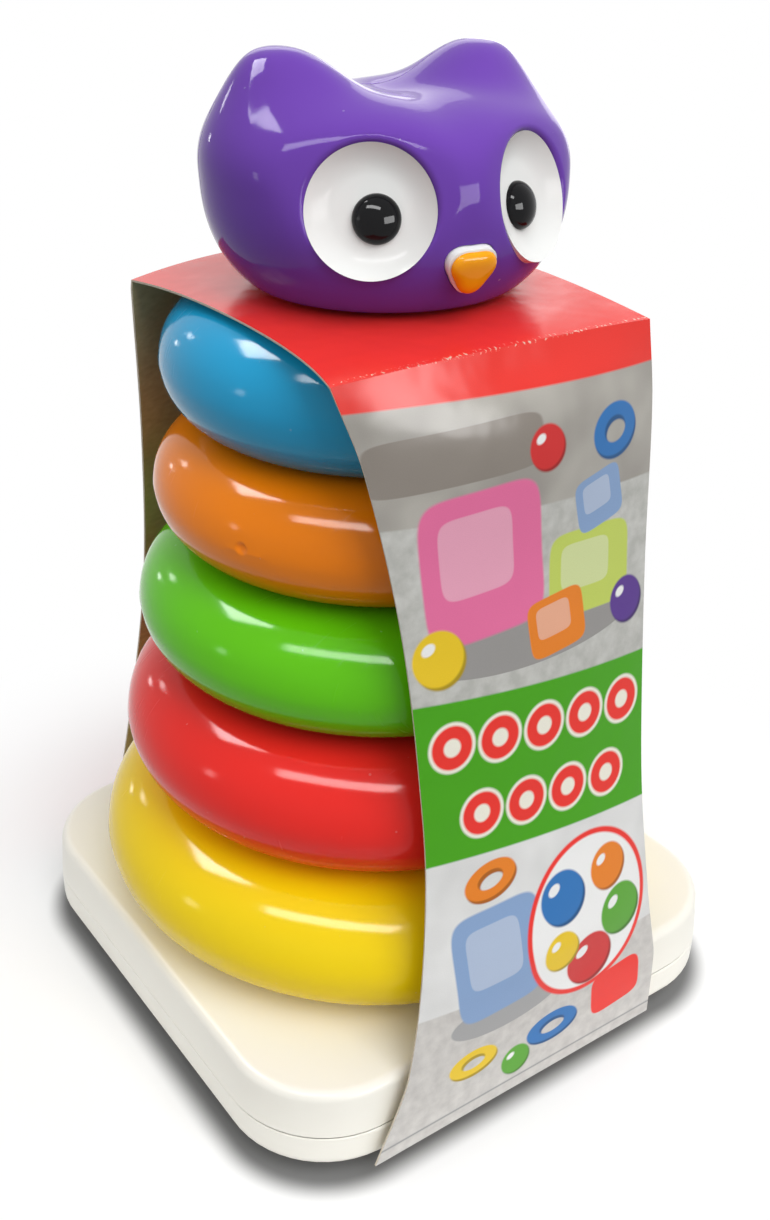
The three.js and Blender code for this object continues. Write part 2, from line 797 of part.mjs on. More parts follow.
const head = new THREE.Group();
head.position.z = headCentre;
head.rotation.z = headTurn;
toy.add(head);
add(head, "head_front_shell", headFrontShell(), plastics.purple);
add(head, "head_rear_shell", headRearShell(), plastics.purple);
add(head, "face_insert", faceInsert(), plastics.white);
add(head, "pupil_right", ontoEye(pupil(-1), -1), plastics.black);
add(head, "pupil_left", ontoEye(pupil(1), 1), plastics.black);
add(head, "beak", beakBlock(0, beakCoreRise + seatGap, beakCoreRise + beakRise, beakRise - seatGap - 0.6), plastics.beak);
add(toy, "head_socket", headSocket(), plastics.white);
for (let i = 0; i < beadCount; i++) {
  const angle = (i / beadCount) * 2 * Math.PI;
  const bead = add(toy, `rattle_bead_${i + 1}`, new THREE.SphereGeometry(beadRadius, smallFacets, 6), plastics.white);
  bead.position.set(beadOrbit * Math.cos(angle), beadOrbit * Math.sin(angle), beadHeight);
}

export default toy;
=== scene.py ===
# Stacking ring toy: a cream rocking base with its post, five glossy rings, an owl head that rattles,
# and a printed card sleeve folded over the stack. Metres, +Z up, and the owl looks towards -Y.
from math import asin, atan2, cos, exp, floor, hypot, log, pi, radians, sin, sqrt, tan, tau

import bmesh
import bpy
from mathutils import Matrix, Vector


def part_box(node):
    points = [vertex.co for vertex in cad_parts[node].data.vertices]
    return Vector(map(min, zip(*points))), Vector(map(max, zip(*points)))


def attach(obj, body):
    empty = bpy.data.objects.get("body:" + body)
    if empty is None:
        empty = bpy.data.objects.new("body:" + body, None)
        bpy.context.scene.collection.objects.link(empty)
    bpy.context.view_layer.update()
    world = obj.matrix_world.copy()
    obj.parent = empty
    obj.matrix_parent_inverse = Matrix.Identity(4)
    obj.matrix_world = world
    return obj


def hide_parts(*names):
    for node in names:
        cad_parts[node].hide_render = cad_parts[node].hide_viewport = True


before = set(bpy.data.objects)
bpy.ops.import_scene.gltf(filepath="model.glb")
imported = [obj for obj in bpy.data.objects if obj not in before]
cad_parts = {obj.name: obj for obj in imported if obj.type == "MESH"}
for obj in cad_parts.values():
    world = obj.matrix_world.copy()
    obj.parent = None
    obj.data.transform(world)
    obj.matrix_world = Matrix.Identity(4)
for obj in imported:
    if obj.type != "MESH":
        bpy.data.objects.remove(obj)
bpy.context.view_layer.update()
scene = bpy.context.scene
scene.view_settings.view_transform = "Standard"
mm = 0.001


def new_object(name, data):
    """An object that stands in the scene."""
    placed = bpy.data.objects.new(name, data)
    scene.collection.objects.link(placed)
    return placed


def close_mesh(shape, name):
    """The mesh of a finished bmesh."""
    mesh = bpy.data.meshes.new(name)
    shape.to_mesh(mesh)
    shape.free()
    return mesh


# Camera: it stands to the front left of the toy, a little above the head, and looks down on it. It
# has no shift and no depth of field, so that other sides of the toy are seen as plainly.
camera_place = Vector((-189.0, -262.3, 285.0)) * mm
camera_turn = -0.6309
camera_dip = 0.4996
camera_roll = 0.0238
camera_data = bpy.data.cameras.new("camera")
camera_data.sensor_fit = "VERTICAL"
camera_data.sensor_height = 36
camera_data.lens = 40.76
camera_data.clip_start = 0.01
camera_data.clip_end = 20
camera = new_object("camera", camera_data)
camera.matrix_world = (
    Matrix.Translation(camera_place)
    @ Matrix.Rotation(camera_turn, 4, "Z")
    @ Matrix.Rotation(pi / 2 - camera_dip, 4, "X")
    @ Matrix.Rotation(camera_roll, 4, "Z")
)
scene.camera = camera


# Studio: a pale floor, darkened by a painted shadow round the base, that turns into a plain white
# surround away from the toy, soft light from all round, and the ceiling panels and strip that draw the
# highlights on the glossy plastic.
floor_size = 12
floor_white = 0.93
surround_start = 0.10
surround_full = 0.20
room_light = 0.84
# Painted shadow on the floor round the base: the half size of its square core, the reach past that where it
# is darkest, the reach where it has faded out, and its darkest colour.
painted_shadow_core = 48 * mm
painted_shadow_full = 26 * mm
painted_shadow_end = 33.5 * mm
painted_shadow_dark = 0.22


def new_material(name):
    """A material, its node tree and the inputs of its shader."""
    material = bpy.data.materials.new(name)
    material.use_nodes = True
    return material, material.node_tree, material.node_tree.nodes["Principled BSDF"].inputs


def fill_inputs(tree, inputs, values):
    """Links a node's inputs to the sockets of other nodes, or sets them to values."""
    for name, value in values.items():
        if isinstance(value, bpy.types.NodeSocket):
            tree.links.new(value, inputs[name])
        else:
            inputs[name].default_value = value


def add_node(tree, kind, values=None, **settings):
    """A shader node with its settings and inputs."""
    node = tree.nodes.new("ShaderNode" + kind)
    for name, value in settings.items():
        setattr(node, name, value)
    fill_inputs(tree, node.inputs, values or {})
    return node


def add_math(tree, operation, *values):
    """The value of a Math node."""
    return add_node(tree, "Math", dict(enumerate(values)), operation=operation).outputs[0]


def vector_length(tree, vector):
    return add_node(tree, "VectorMath", {0: vector}, operation="LENGTH").outputs["Value"]


def mix_colours(tree, under, mask, over):
    """One colour over another where a mask is 1."""
    sides = {"Factor": mask, "A": under, "B": over}
    return add_node(tree, "Mix", sides, data_type="RGBA").outputs["Result"]


def add_noise(tree, place, scale, detail=2.0):
    """The value of a Noise texture on a place."""
    noise = add_node(tree, "TexNoise", {"Vector": place, "Scale": scale, "Detail": detail})
    return noise.outputs["Fac"]


def add_range(tree, value, low=0.0, high=1.0, to_low=0.0, to_high=1.0, **settings):
    """A value that runs from one number to another while its input runs from low to high."""
    span = {"Value": value, "From Min": low, "From Max": high, "To Min": to_low, "To Max": to_high}
    return add_node(tree, "MapRange", span, **settings).outputs[0]


def add_bump(tree, height, strength, distance):
    """The surface's direction over a relief."""
    relief = {"Height": height, "Strength": strength, "Distance": distance}
    return add_node(tree, "Bump", relief).outputs[0]


def object_place(tree):
    return add_node(tree, "TexCoord").outputs["Object"]


def seen_directly(tree):
    """1 on rays from the camera, from glossy surfaces and from clear ones, and 0 on the rest."""
    path = add_node(tree, "LightPath").outputs
    shiny = add_math(tree, "MAXIMUM", path["Is Glossy Ray"], path["Is Transmission Ray"])
    return add_math(tree, "MAXIMUM", path["Is Camera Ray"], shiny)


world = bpy.data.worlds.new("white surround")
world.use_nodes = True
tree = world.node_tree
tree.nodes.clear()
strength = add_range(tree, seen_directly(tree), to_low=room_light)
surround = add_node(tree, "Background", {"Color": (1, 1, 1, 1), "Strength": strength})
add_node(tree, "OutputWorld", {"Surface": surround.outputs[0]})
scene.world = world

floor_finish, tree = new_material("pale floor")[:2]
tree.nodes.clear()
floor_place = object_place(tree)
floor_reach = vector_length(tree, floor_place)
fade = add_range(tree, floor_reach, surround_start, surround_full, interpolation_type="SMOOTHSTEP")
# Painted shadow: the floor's colour darkens towards the base's rounded-square outline, in place of the base's
# contact shadow.
parts = add_node(tree, "SeparateXYZ", {0: floor_place}).outputs
off_middle = [add_math(tree, "ABSOLUTE", parts[axis]) for axis in ("X", "Y")]
past = [add_math(tree, "MAXIMUM", add_math(tree, "SUBTRACT", off, painted_shadow_core), 0.0) for off in off_middle]
past_corner = add_node(tree, "CombineXYZ", {"X": past[0], "Y": past[1]}).outputs[0]
off_base = vector_length(tree, past_corner)
painted_shadow = add_range(
    tree, off_base, painted_shadow_full, painted_shadow_end, painted_shadow_dark, floor_white, interpolation_type="SMOOTHSTEP"
)
matt = add_node(tree, "BsdfDiffuse", {"Color": painted_shadow})
bright = add_node(tree, "Emission", {"Color": (1, 1, 1, 1), "Strength": seen_directly(tree)})
blend_floor = add_node(tree, "MixShader", {0: fade, 1: matt.outputs[0], 2: bright.outputs[0]})
add_node(tree, "OutputMaterial", {"Surface": blend_floor.outputs[0]})
shape = bmesh.new()
bmesh.ops.create_grid(shape, x_segments=1, y_segments=1, size=floor_size / 2)
floor_mesh = close_mesh(shape, "floor")
floor_mesh.materials.append(floor_finish)
floor_piece = new_object("floor", floor_mesh)

# Name, compass angle from +Y, height angle, distance, width, height, watts, and whether it lights
# the toy or only shows in its gloss.
lamps = [
    ("ceiling_panel", -30, 55, 2.2, 0.85, 0.62, 50, False),
    ("ceiling_strip", -124, 54, 2.2, 1.75, 0.42, 55, False),
    ("far_window_high", -15, 21, 2.2, 0.16, 0.16, 0.9, False),
    ("far_window_low", -14, 8, 2.2, 0.12, 0.12, 0.5, False),
    ("side_lamp", -72, 9, 2.2, 0.18, 0.3, 1.4, False),
    ("right_window", 52, 3, 2.2, 1.1, 0.8, 3.5, False),
    ("back_glow", 29, 24, 2.2, 1.3, 0.6, 2.6, False),
    ("front_window", 171, 13, 2.2, 1.7, 0.75, 66, False),
    ("key_light", 178, 50, 2.4, 1.6, 1.6, 31, True),
]
aim = Vector((0, 0, 0.12))
for name, turn, rise, distance, width, height, watts, lights_toy in lamps:
    lamp_data = bpy.data.lights.new(name, "AREA")
    lamp_data.shape = "RECTANGLE"
    lamp_data.size = width
    lamp_data.size_y = height
    lamp_data.energy = watts
    lamp = new_object(name, lamp_data)
    turn, rise = radians(turn), radians(rise)
    away = Vector((sin(turn) * cos(rise), cos(turn) * cos(rise), sin(rise)))
    lamp_turn = away.to_track_quat("Z", "Y").to_matrix().to_4x4()
    lamp.matrix_world = Matrix.Translation(aim + away * distance) @ lamp_turn
    lamp.visible_camera = False
    lamp.visible_diffuse = lights_toy
    lamp.visible_glossy = not lights_toy


# Base top shell: the cream upper half of the base, injection moulded in one piece with a soft top
# edge. The rings rest on its flat top, and it snaps down over the lip of the lower half.
base_low, base_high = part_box("base_top_shell")
base_half = base_high.x
base_corner = 27 * mm
base_top = base_high.z
base_edge = 2.6 * mm
base_draft = 0.9 * mm
base_wall = 2.2 * mm
seam_low = base_low.z
seam_inset, seam_edge = 0.3 * mm, 0.06 * mm
seam_bevel = 0.25 * mm
base_steps = 192
post_hole_radius = 22.8 * mm
rocker_flat = 30 * mm
cream = (0.885, 0.865, 0.79)
crease_angle = 40
# The moulded surface: how fine its marks are, where they start to show, and the orange peel's relief.
drift_scale, patch_scale, speck_scale, peel_scale = 28.0, 45.0, 260.0, 330.0
hair_scale, hair_low, hair_high = (60.0, 1500.0, 90.0), 0.73, 0.80
patch_low, patch_high = 0.5, 0.62
speck_radius, speck_least = 0.085, 0.68
dust_colour = (0.8, 0.79, 0.76, 1)
peel_strength, peel_height = 0.12, 0.2 * mm

surface_group = bpy.data.node_groups.new("moulded surface", "ShaderNodeTree")
for in_out, kind, names in (
    ("INPUT", "Vector", ["Place"]),
    ("INPUT", "Color", ["Colour"]),
    ("INPUT", "Float", ["Mottle", "Roughness", "Scratches", "Dust", "Peel"]),
    ("OUTPUT", "Color", ["Colour"]),
    ("OUTPUT", "Float", ["Roughness", "Height"]),
):
    for name in names:
        surface_group.interface.new_socket(name, in_out=in_out, socket_type="NodeSocket" + kind)


def build_moulded_surface(tree):
    """Slow colour drift, orange peel, hairline scratches and specks of dust on moulded plastic."""
    given = tree.nodes.new("NodeGroupInput").outputs
    place = given["Place"]

    def noise(scale, detail=2.0, stretch=None):
        where = place
        if stretch:
            turned = {"Vector": place, "Rotation": stretch[0], "Scale": stretch[1]}
            where = add_node(tree, "Mapping", turned).outputs[0]
        return add_noise(tree, where, scale, detail)

    drift = add_math(tree, "SUBTRACT", noise(drift_scale, 3.0), 0.5)
    drift = add_math(tree, "MULTIPLY_ADD", drift, given["Mottle"], 1.0)
    drifted = add_node(tree, "VectorMath", {0: given["Colour"], "Scale": drift}, operation="SCALE")
    hair = [
        add_range(tree, noise(1.0, 0.0, ((0.3 * k, 0.5, 1.1 * k), hair_scale)), hair_low, hair_high)
        for k in (1, 2, 3)
    ]
    patchy = add_range(tree, noise(patch_scale, 1.0), patch_low, patch_high)
    scratched = add_math(tree, "MAXIMUM", add_math(tree, "MAXIMUM", *hair[:2]), hair[2])
    scratched = add_math(tree, "MULTIPLY", scratched, patchy)
    scratched = add_math(tree, "MULTIPLY", scratched, given["Scratches"])
    specks = add_node(tree, "TexVoronoi", {"Vector": place, "Scale": speck_scale, "Randomness": 1.0})
    speck = add_math(tree, "LESS_THAN", specks.outputs["Distance"], speck_radius)
    some = add_math(tree, "GREATER_THAN", noise(500.0, 0.0), speck_least)
    dusty = add_math(tree, "MULTIPLY", add_math(tree, "MULTIPLY", speck, some), given["Dust"])
    pale = mix_colours(tree, drifted.outputs[0], dusty, dust_colour)
    worn = add_math(tree, "ADD", given["Roughness"], add_math(tree, "MULTIPLY", scratched, 0.25))
    worn = add_math(tree, "ADD", worn, add_math(tree, "MULTIPLY", dusty, 0.4))
    peel = add_math(tree, "MULTIPLY", noise(peel_scale, 1.0), given["Peel"])
    relief = add_math(tree, "SUBTRACT", peel, add_math(tree, "MULTIPLY", scratched, 0.3))
    result = {"Colour": pale, "Roughness": worn, "Height": relief}
    fill_inputs(tree, tree.nodes.new("NodeGroupOutput").inputs, result)


build_moulded_surface(surface_group)


def plastic(name, colour, roughness, mottle, scratches, peel, dust=0.12, specular=0.16):
    """A moulded plastic of one colour with the shared surface on it."""
    material, tree, shader = new_material(name)
    given = {"Place": object_place(tree), "Colour": (*colour, 1), "Mottle": mottle, "Roughness": roughness}
    given |= {"Scratches": scratches, "Dust": dust, "Peel": peel}
    surface = add_node(tree, "Group", given, node_tree=surface_group).outputs
    bumps = add_bump(tree, surface["Height"], peel_strength, peel_height)
    fill_inputs(tree, shader, {"Base Color": surface["Colour"], "Roughness": surface["Roughness"]})
    fill_inputs(tree, shader, {"Normal": bumps, "Specular IOR Level": specular})
    return material


def finish_piece(shape, name, body, finish, crease=crease_angle):
    """Turns a bmesh into a piece that rides on a body and stands for the node of its name."""
    mesh = close_mesh(shape, name)
    mesh.materials.append(finish)
    mesh.shade_smooth()
    mesh.set_sharp_from_angle(angle=radians(crease))
    piece = new_object(name, mesh)
    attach(piece, body)
    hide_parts(name)
    return piece


def angle_of(corner):
    return atan2(corner.co.y, corner.co.x)


def rounded_square(angle, half, corner, height):
    """The point of a square with round corners that lies at an angle round the middle."""
    quarter = (angle + pi / 4) % (pi / 2) - pi / 4
    side, corner_centre = abs(quarter), half - corner
    reach = half / cos(side)
    if reach * sin(side) > corner_centre:
        along = corner_centre * (cos(side) + sin(side))
        reach = along + sqrt(max(0.0, along * along - 2 * corner_centre**2 + corner**2))
    return Vector((reach * cos(angle), reach * sin(angle), height))


def base_outline(inset, height):
    """The base's outline drawn in by an inset. It turns into a circle over the flat of the rocker."""
    half = base_half - inset
    round_share = min(1.0, inset / (base_half - rocker_flat))
    corner = min(half, max(base_corner - inset, half * round_share))
    return lambda angle: rounded_square(angle, half, corner, height)


def extrude_rim(shape, edges):
    """Extrudes edges into a strip of faces, and gives the corners and edges of its new rim."""
    grown = bmesh.ops.extrude_edge_only(shape, edges=edges)["geom"]
    corners = {g for g in grown if isinstance(g, bmesh.types.BMVert)}
    return corners, [g for g in grown if isinstance(g, bmesh.types.BMEdge) and corners.issuperset(g.verts)]


def grow_rings(stations, segments, close=False):
    """A skin extruded from station to station, with its last ring closed by a face if asked for."""
    shape = bmesh.new()
    bmesh.ops.create_circle(shape, segments=segments, radius=1)
    for corner in shape.verts:
        corner.co = stations[0](angle_of(corner))
    edges = list(shape.edges)
    for station in stations[1:]:
        corners, edges = extrude_rim(shape, edges)
        for corner in corners:
            corner.co = station(angle_of(corner))
    if close:
        bmesh.ops.contextual_create(shape, geom=edges)
    return shape


def turn_outwards(shape, up=1):
    """Points the faces of an open skin outwards, which is up on the whole, or down where up is -1."""
    bmesh.ops.recalc_face_normals(shape, faces=shape.faces)
    if up * sum(f.normal.z * f.calc_area() for f in shape.faces) < 0:
        bmesh.ops.reverse_faces(shape, faces=shape.faces)


def thicken(piece, wall, **settings):
    """Gives a piece's skin its wall, on the inner side."""
    modifier = piece.modifiers.new("wall", "SOLIDIFY")
    modifier.thickness = wall
    modifier.offset = -1
    for name, value in settings.items():
        setattr(modifier, name, value)


def arc(steps, first=0.0, last=pi / 2):
    return [first + (last - first) * i / steps for i in range(steps + 1)]


cream_plastic = plastic("cream base plastic", cream, roughness=0.3, mottle=0.02, scratches=0.3, peel=0.6)
edge_inset = base_draft + base_edge
stations = [base_outline(seam_inset, seam_low), base_outline(seam_edge, seam_low + seam_bevel)]
stations += [
    base_outline(edge_inset - base_edge * cos(t), base_top - base_edge + base_edge * sin(t)) for t in arc(8)
]
top_insets = [3.8, 5.5, 9, 14, 20, 27, 35, 43, 49]
stations += [base_outline(inset * mm, base_top) for inset in top_insets]
stations += [base_outline(base_half - post_hole_radius, base_top)]
shape = grow_rings(stations, base_steps)
turn_outwards(shape)
base_top_piece = finish_piece(shape, "base_top_shell", "base", cream_plastic)
thicken(base_top_piece, base_wall)


# Base rocker: the lower half, whose underside is flat in the middle and rises to the walls, so the
# toy rocks. Four self-tapping screws go up through deep round wells into the top shell.
rocker_rise = 5.6 * mm
seam_high = 15 * mm
seam_round = 1.2 * mm
screw_spacing = 94 * mm
well_radius = 3.4 * mm
well_depth = 10 * mm
rocker_steps = 8

wall_foot = rocker_rise + base_edge
stations = [base_outline(seam_inset, seam_high), base_outline(seam_edge, seam_high - seam_bevel)]
stations += [base_outline(0, seam_high - seam_round), base_outline(0, wall_foot)]
stations += [base_outline(base_edge - base_edge * cos(t), wall_foot - base_edge * sin(t)) for t in arc(6)[1:]]
reach = base_half - base_edge - rocker_flat
for step in range(1, rocker_steps + 1):
    outwards = 1 - step / rocker_steps
    stations.append(base_outline(base_edge + reach * (1 - outwards), rocker_rise * outwards**2))
shape = grow_rings(stations, base_steps, close=True)
turn_outwards(shape, up=-1)
rocker_piece = finish_piece(shape, "base_rocker", "base", cream_plastic)
thicken(rocker_piece, base_wall)


def carve(piece, cutter):
    """Cuts one piece with a bmesh for good, the walls of its modifiers included."""
    bmesh.ops.recalc_face_normals(cutter, faces=cutter.faces)
    tool = new_object("cutter", close_mesh(cutter, "cutter"))
    modifier = piece.modifiers.new("cut", "BOOLEAN")
    modifier.operation = "DIFFERENCE"
    modifier.solver = "EXACT"
    modifier.object = tool
    bpy.context.view_layer.update()
    result = bpy.data.meshes.new_from_object(piece.evaluated_get(bpy.context.evaluated_depsgraph_get()))
    piece.modifiers.clear()
    piece.data = result
    bpy.data.objects.remove(tool)
    piece.data.set_sharp_from_angle(angle=radians(crease_angle))


def add_drum(shape, radius, depth, segments, place):
    """A closed cylinder with its middle at a place."""
    bmesh.ops.create_cone(
        shape,
        cap_ends=True,
        segments=segments,
        radius1=radius,
        radius2=radius,
        depth=depth,
        matrix=Matrix.Translation(place),
    )


screw_off = screw_spacing / 2
screw_places = [(x * screw_off, y * screw_off) for x, y in ((1, 1), (-1, 1), (-1, -1), (1, -1))]
wells = bmesh.new()
for x, y in screw_places:
    add_drum(wells, well_radius, 2 * well_depth, 32, (x, y, 0))
carve(rocker_piece, wells)


# Base screws: four zinc plated steel screws with pan heads and a cross recess. They are sunk in the
# wells of the rocker and cut their threads into the bosses of the top shell.
screw_steel, tree, shader = new_material("zinc plated screw")
turned_marks = add_range(tree, add_noise(tree, object_place(tree), 900.0), to_low=0.25, to_high=0.45)
fill_inputs(tree, shader, {"Base Color": (0.62, 0.62, 0.64, 1), "Metallic": 1.0, "Roughness": turned_marks})
# Radius and height of the pan head's corners in millimetres, from its middle to under its rim.
pan_head = [(0, 0), (1.9, 0.05), (2.8, 0.5), (3.1, 1.1), (3.1, 2.2)]
screw_point = 2.5 * mm
recess_width = 0.9 * mm
recess_reach = 3.4 * mm
recess_depth = 1.2 * mm
screw_core, screw_crest = 1.1 * mm, 1.5 * mm
pitch = 1.1 * mm
flank_share, crest_share = 0.25, 0.6


def spin_round(shape, steps):
    """Spins the line that a shape holds round the Z axis."""
    line = list(shape.verts) + list(shape.edges)
    bmesh.ops.spin(shape, geom=line, cent=(0, 0, 0), axis=(0, 0, 1), angle=tau, steps=steps, use_merge=True)


def spin_profile(points, steps, close=False):
    """A line of (radius, height) points spun round the Z axis."""
    shape = bmesh.new()
    corners = [shape.verts.new((radius, 0, height)) for radius, height in points]
    for pair in zip(corners, corners[1:] + corners[:1] * close):
        shape.edges.new(pair)
    spin_round(shape, steps)
    bmesh.ops.remove_doubles(shape, verts=shape.verts, dist=1e-6)
    bmesh.ops.recalc_face_normals(shape, faces=shape.faces)
    return shape


for number, (x, y) in enumerate(screw_places, start=1):
    node = f"base_screw_{number}"
    low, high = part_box(node)
    head_low, tip = low.z, high.z
    profile = [(radius * mm, head_low + height * mm) for radius, height in pan_head]
    thread = profile[-1][1]
    profile.append((screw_core, thread))
    turns = floor((tip - thread - screw_point) / pitch)
    for turn in range(turns):
        start = thread + turn * pitch
        profile += [(screw_core, start + flank_share * pitch), (screw_crest, start + crest_share * pitch)]
        profile.append((screw_core, start + pitch))
    profile.append((0, tip))
    shape = spin_profile(profile, 24)
    bmesh.ops.translate(shape, vec=(x, y, 0), verts=shape.verts)
    screw = finish_piece(shape, node, "base", screw_steel, crease=30)
    cross = bmesh.new()
    place_of_head = Matrix.Translation((x, y, head_low))
    for size in ((recess_reach, recess_width), (recess_width, recess_reach)):
        bar = Matrix.Diagonal((*size, 2 * recess_depth, 1))
        bmesh.ops.create_cube(cross, size=1, matrix=place_of_head @ bar)
    carve(screw, cross)


# Post: a hollow white cone on a thin flange, held between the two halves of the base. The rings
# drop over it and the socket in the head goes over its tip.
post_low, post_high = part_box("post")
post_wall = 2.2 * mm
post_flange = post_high.x
flange_top = post_low.z + 2 * mm
post_foot = 22 * mm
post_tip = 7 * mm
tip_round = 3 * mm
post_white = (0.84, 0.845, 0.83)
white_plastic = plastic("white plastic", post_white, roughness=0.2, mottle=0.02, scratches=0.4, peel=0.8)


def post_radius(height):
    share = (height - base_top) / (post_high.z - base_top)
    return post_foot + (post_tip - post_foot) * share


shoulder = post_high.z - tip_round
profile = [(post_radius(post_low.z) - post_wall, post_low.z), (post_flange, post_low.z)]
profile += [(post_flange, flange_top), (post_radius(flange_top), flange_top)]
levels = [flange_top + (shoulder - flange_top) * i / 12 for i in range(1, 13)]
profile += [(post_radius(z), z) for z in levels]
profile += [
    (post_radius(shoulder) - tip_round * (1 - cos(t)), shoulder + tip_round * sin(t)) for t in arc(6)[1:]
]
inner_tip = post_high.z - post_wall
profile += [(0, post_high.z), (0, inner_tip), (post_radius(inner_tip) - post_wall, inner_tip)]
shape = spin_profile(profile, 96, close=True)
finish_piece(shape, "post", "base", white_plastic, crease=35)


# Rings: five hollow blow-moulded rings of oval section, each a flat colour right through, with a
# fine parting line round the middle. The orange one keeps the sealed dimple of its blow pin.
ring_looks = [
    ("yellow", 67, (0.90, 0.65, 0.004)),
    ("red", 58.5, (0.85, 0.024, 0.018)),
    ("green", 53, (0.125, 0.58, 0.005)),
    ("orange", 48, (0.93, 0.235, 0.003)),
    ("blue", 42.5, (0.014, 0.35, 0.64)),
]
ring_round = 160
section_sides = 56
parting_rise = 0.13 * mm
parting_spread = 0.05
dimple_place = Vector((-52.7, -20.9, 149.3)) * mm
dimple_radius = 1.25 * mm
dimple_depth = 0.7 * mm
dimple_reach = 4.5 * mm
dimple_cuts = 7

for colour_name, bore, colour in ring_looks:
    node = f"ring_{colour_name}"
    low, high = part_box(node)
    outer = high.x
    middle = (low.z + high.z) / 2
    half_height = (high.z - low.z) / 2
    half_width = (outer - bore * mm / 2) / 2
    tube_centre = outer - half_width
    shape = bmesh.new()
    bmesh.ops.create_circle(shape, segments=section_sides, radius=1)
    for corner in shape.verts:
        angle = angle_of(corner)
        swell = parting_rise * exp(-((angle / parting_spread) ** 2))
        radius = tube_centre + (half_width - parting_rise + swell) * cos(angle)
        corner.co = (radius, 0, middle + half_height * sin(angle))
    spin_round(shape, ring_round)
    if colour_name == "orange":
        near = [f for f in shape.faces if (f.calc_center_median() - dimple_place).length < dimple_reach]
        edges = list({e for f in near for e in f.edges})
        bmesh.ops.subdivide_edges(shape, edges=edges, cuts=dimple_cuts, use_grid_fill=True)
        for corner in shape.verts:
            x, y, z = corner.co
            if (corner.co - dimple_place).length < 2 * dimple_reach:
                around = atan2(y, x)
                across = (hypot(x, y) - tube_centre) / half_width
                upright = (z - middle) / half_height
                stretch = hypot(across, upright)
                swell = parting_rise * (exp(-((atan2(upright, across) / parting_spread) ** 2)) - 1)
                radius = tube_centre + across / stretch * (half_width + swell)
                outward = Vector((across * cos(around), across * sin(around), upright)).normalized()
                height = middle + upright / stretch * half_height
                corner.co = (radius * cos(around), radius * sin(around), height)
                off = (corner.co - dimple_place).length / dimple_radius
                corner.co -= outward * dimple_depth * exp(-(off**4))
    bmesh.ops.recalc_face_normals(shape, faces=shape.faces)
    ring_plastic = plastic(
        f"{colour_name} ring plastic", colour, roughness=0.11, mottle=0.1, scratches=0.8, peel=0.5
    )
    finish_piece(shape, node, colour_name, ring_plastic, crease=60)


# Card sleeve: one strip of printed folding card, varnished outside and brown inside, that runs down
# the front, over the stack under the head and down the back. Its long sides curve in.
sleeve_low, sleeve_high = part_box("card_sleeve")
card = 0.5 * mm
panel_gap = 2.4 * mm
card_top = sleeve_high.z
card_hem = sleeve_low.z
corner_droop = 2.6 * mm
top_crown = 1.2 * mm
front_fold = 48.6 * mm
front_fold_bulge = 1.4 * mm
back_fold = 41 * mm
back_fold_bulge = 8 * mm
front_reach = front_fold + front_fold_bulge
back_reach = back_fold + back_fold_bulge
top_half = 41.8 * mm
top_drift = -2.5 * mm
card_hole = 23 * mm
hole_cut = 10 * mm
# Share of the panel's height, half width there, and sideways drift of the hanging card.
front_outline = [
    (0, 45.8, -7.3),
    (0.1, 41.6, -3.6),
    (0.22, 37.4, -1.4),
    (0.37, 34.5, 0),
    (0.48, 34.2, 0.5),
    (0.7, 36, 0.8),
    (0.9, 40.6, -0.6),
    (1, 43.5, -3.9),
]
back_outline = [(0, 43.2, -2), (0.22, 39.2, -2), (0.5, 36.4, -2), (0.75, 38.8, -2), (1, 43.8, -2)]
card_across = 36
panel_rows = 90
top_rows = 48
fold_start = 0.97
split_row = 44
# The print is drawn in units of 100 mm. Its motifs are given in millimetres.
print_mm = 100
edge_blur = 0.0025
band_slope = 0.09
motif_rim, motif_size, motif_hole = 12.4, 10.6, 0.42
hem_line_low, hem_line_high = 0.099, 0.105
fleck_reach, fleck_blur = 0.0035, 0.002


def smooth_value(table, share, column):
    """A smooth value between the rows of an outline table."""
    i = 1
    while i < len(table) - 1 and share > table[i][0]:
        i += 1
    low, high = table[i - 1], table[i]
    t = min(1.0, max(0.0, (share - low[0]) / (high[0] - low[0])))
    u = 1 - t

    def slope(row):
        before, after = table[max(row - 1, 0)], table[min(row + 1, len(table) - 1)]
        return (after[column] - before[column]) / (after[0] - before[0])

    span = high[0] - low[0]
    ends = low[column] * (1 + 2 * t) * u * u + high[column] * (3 - 2 * t) * t * t
    return ends + span * (slope(i - 1) * t * u * u - slope(i) * t * t * u)


stack = []
for colour_name, bore, colour in ring_looks:
    low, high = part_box(f"ring_{colour_name}")
    stack.append(((low.z + high.z) / 2, high.x))
fold_height = card_top - corner_droop
hem_reach = base_half + panel_gap + card


def panel_station(side, share, outline, fold, fold_reach):
    """Where a hanging panel's edge and middle run at a share of its height, with its width."""
    z = card_hem + (fold_height - card_hem) * share
    reaches = [(card_hem, hem_reach), (base_top, hem_reach)]
    reaches += [(middle, outer + panel_gap + card) for middle, outer in stack]
    reaches.append((fold_height, fold_reach))
    middle = min(hem_reach, smooth_value(reaches, z, 1))
    lean = max(0.0, (z - base_top) / (fold_height - base_top))
    edge = hem_reach + (fold - hem_reach) * lean
    last = min(1.0, max(0.0, (share - fold_start) / (1 - fold_start)))
    lift = (card_top - top_crown - fold_height) * last**2
    return {
        "edge": (side * edge, z),
        "middle": (side * max(edge, middle), z + lift),
        "half": smooth_value(outline, share, 1) * mm,
        "drift": smooth_value(outline, share, 2) * mm,
    }


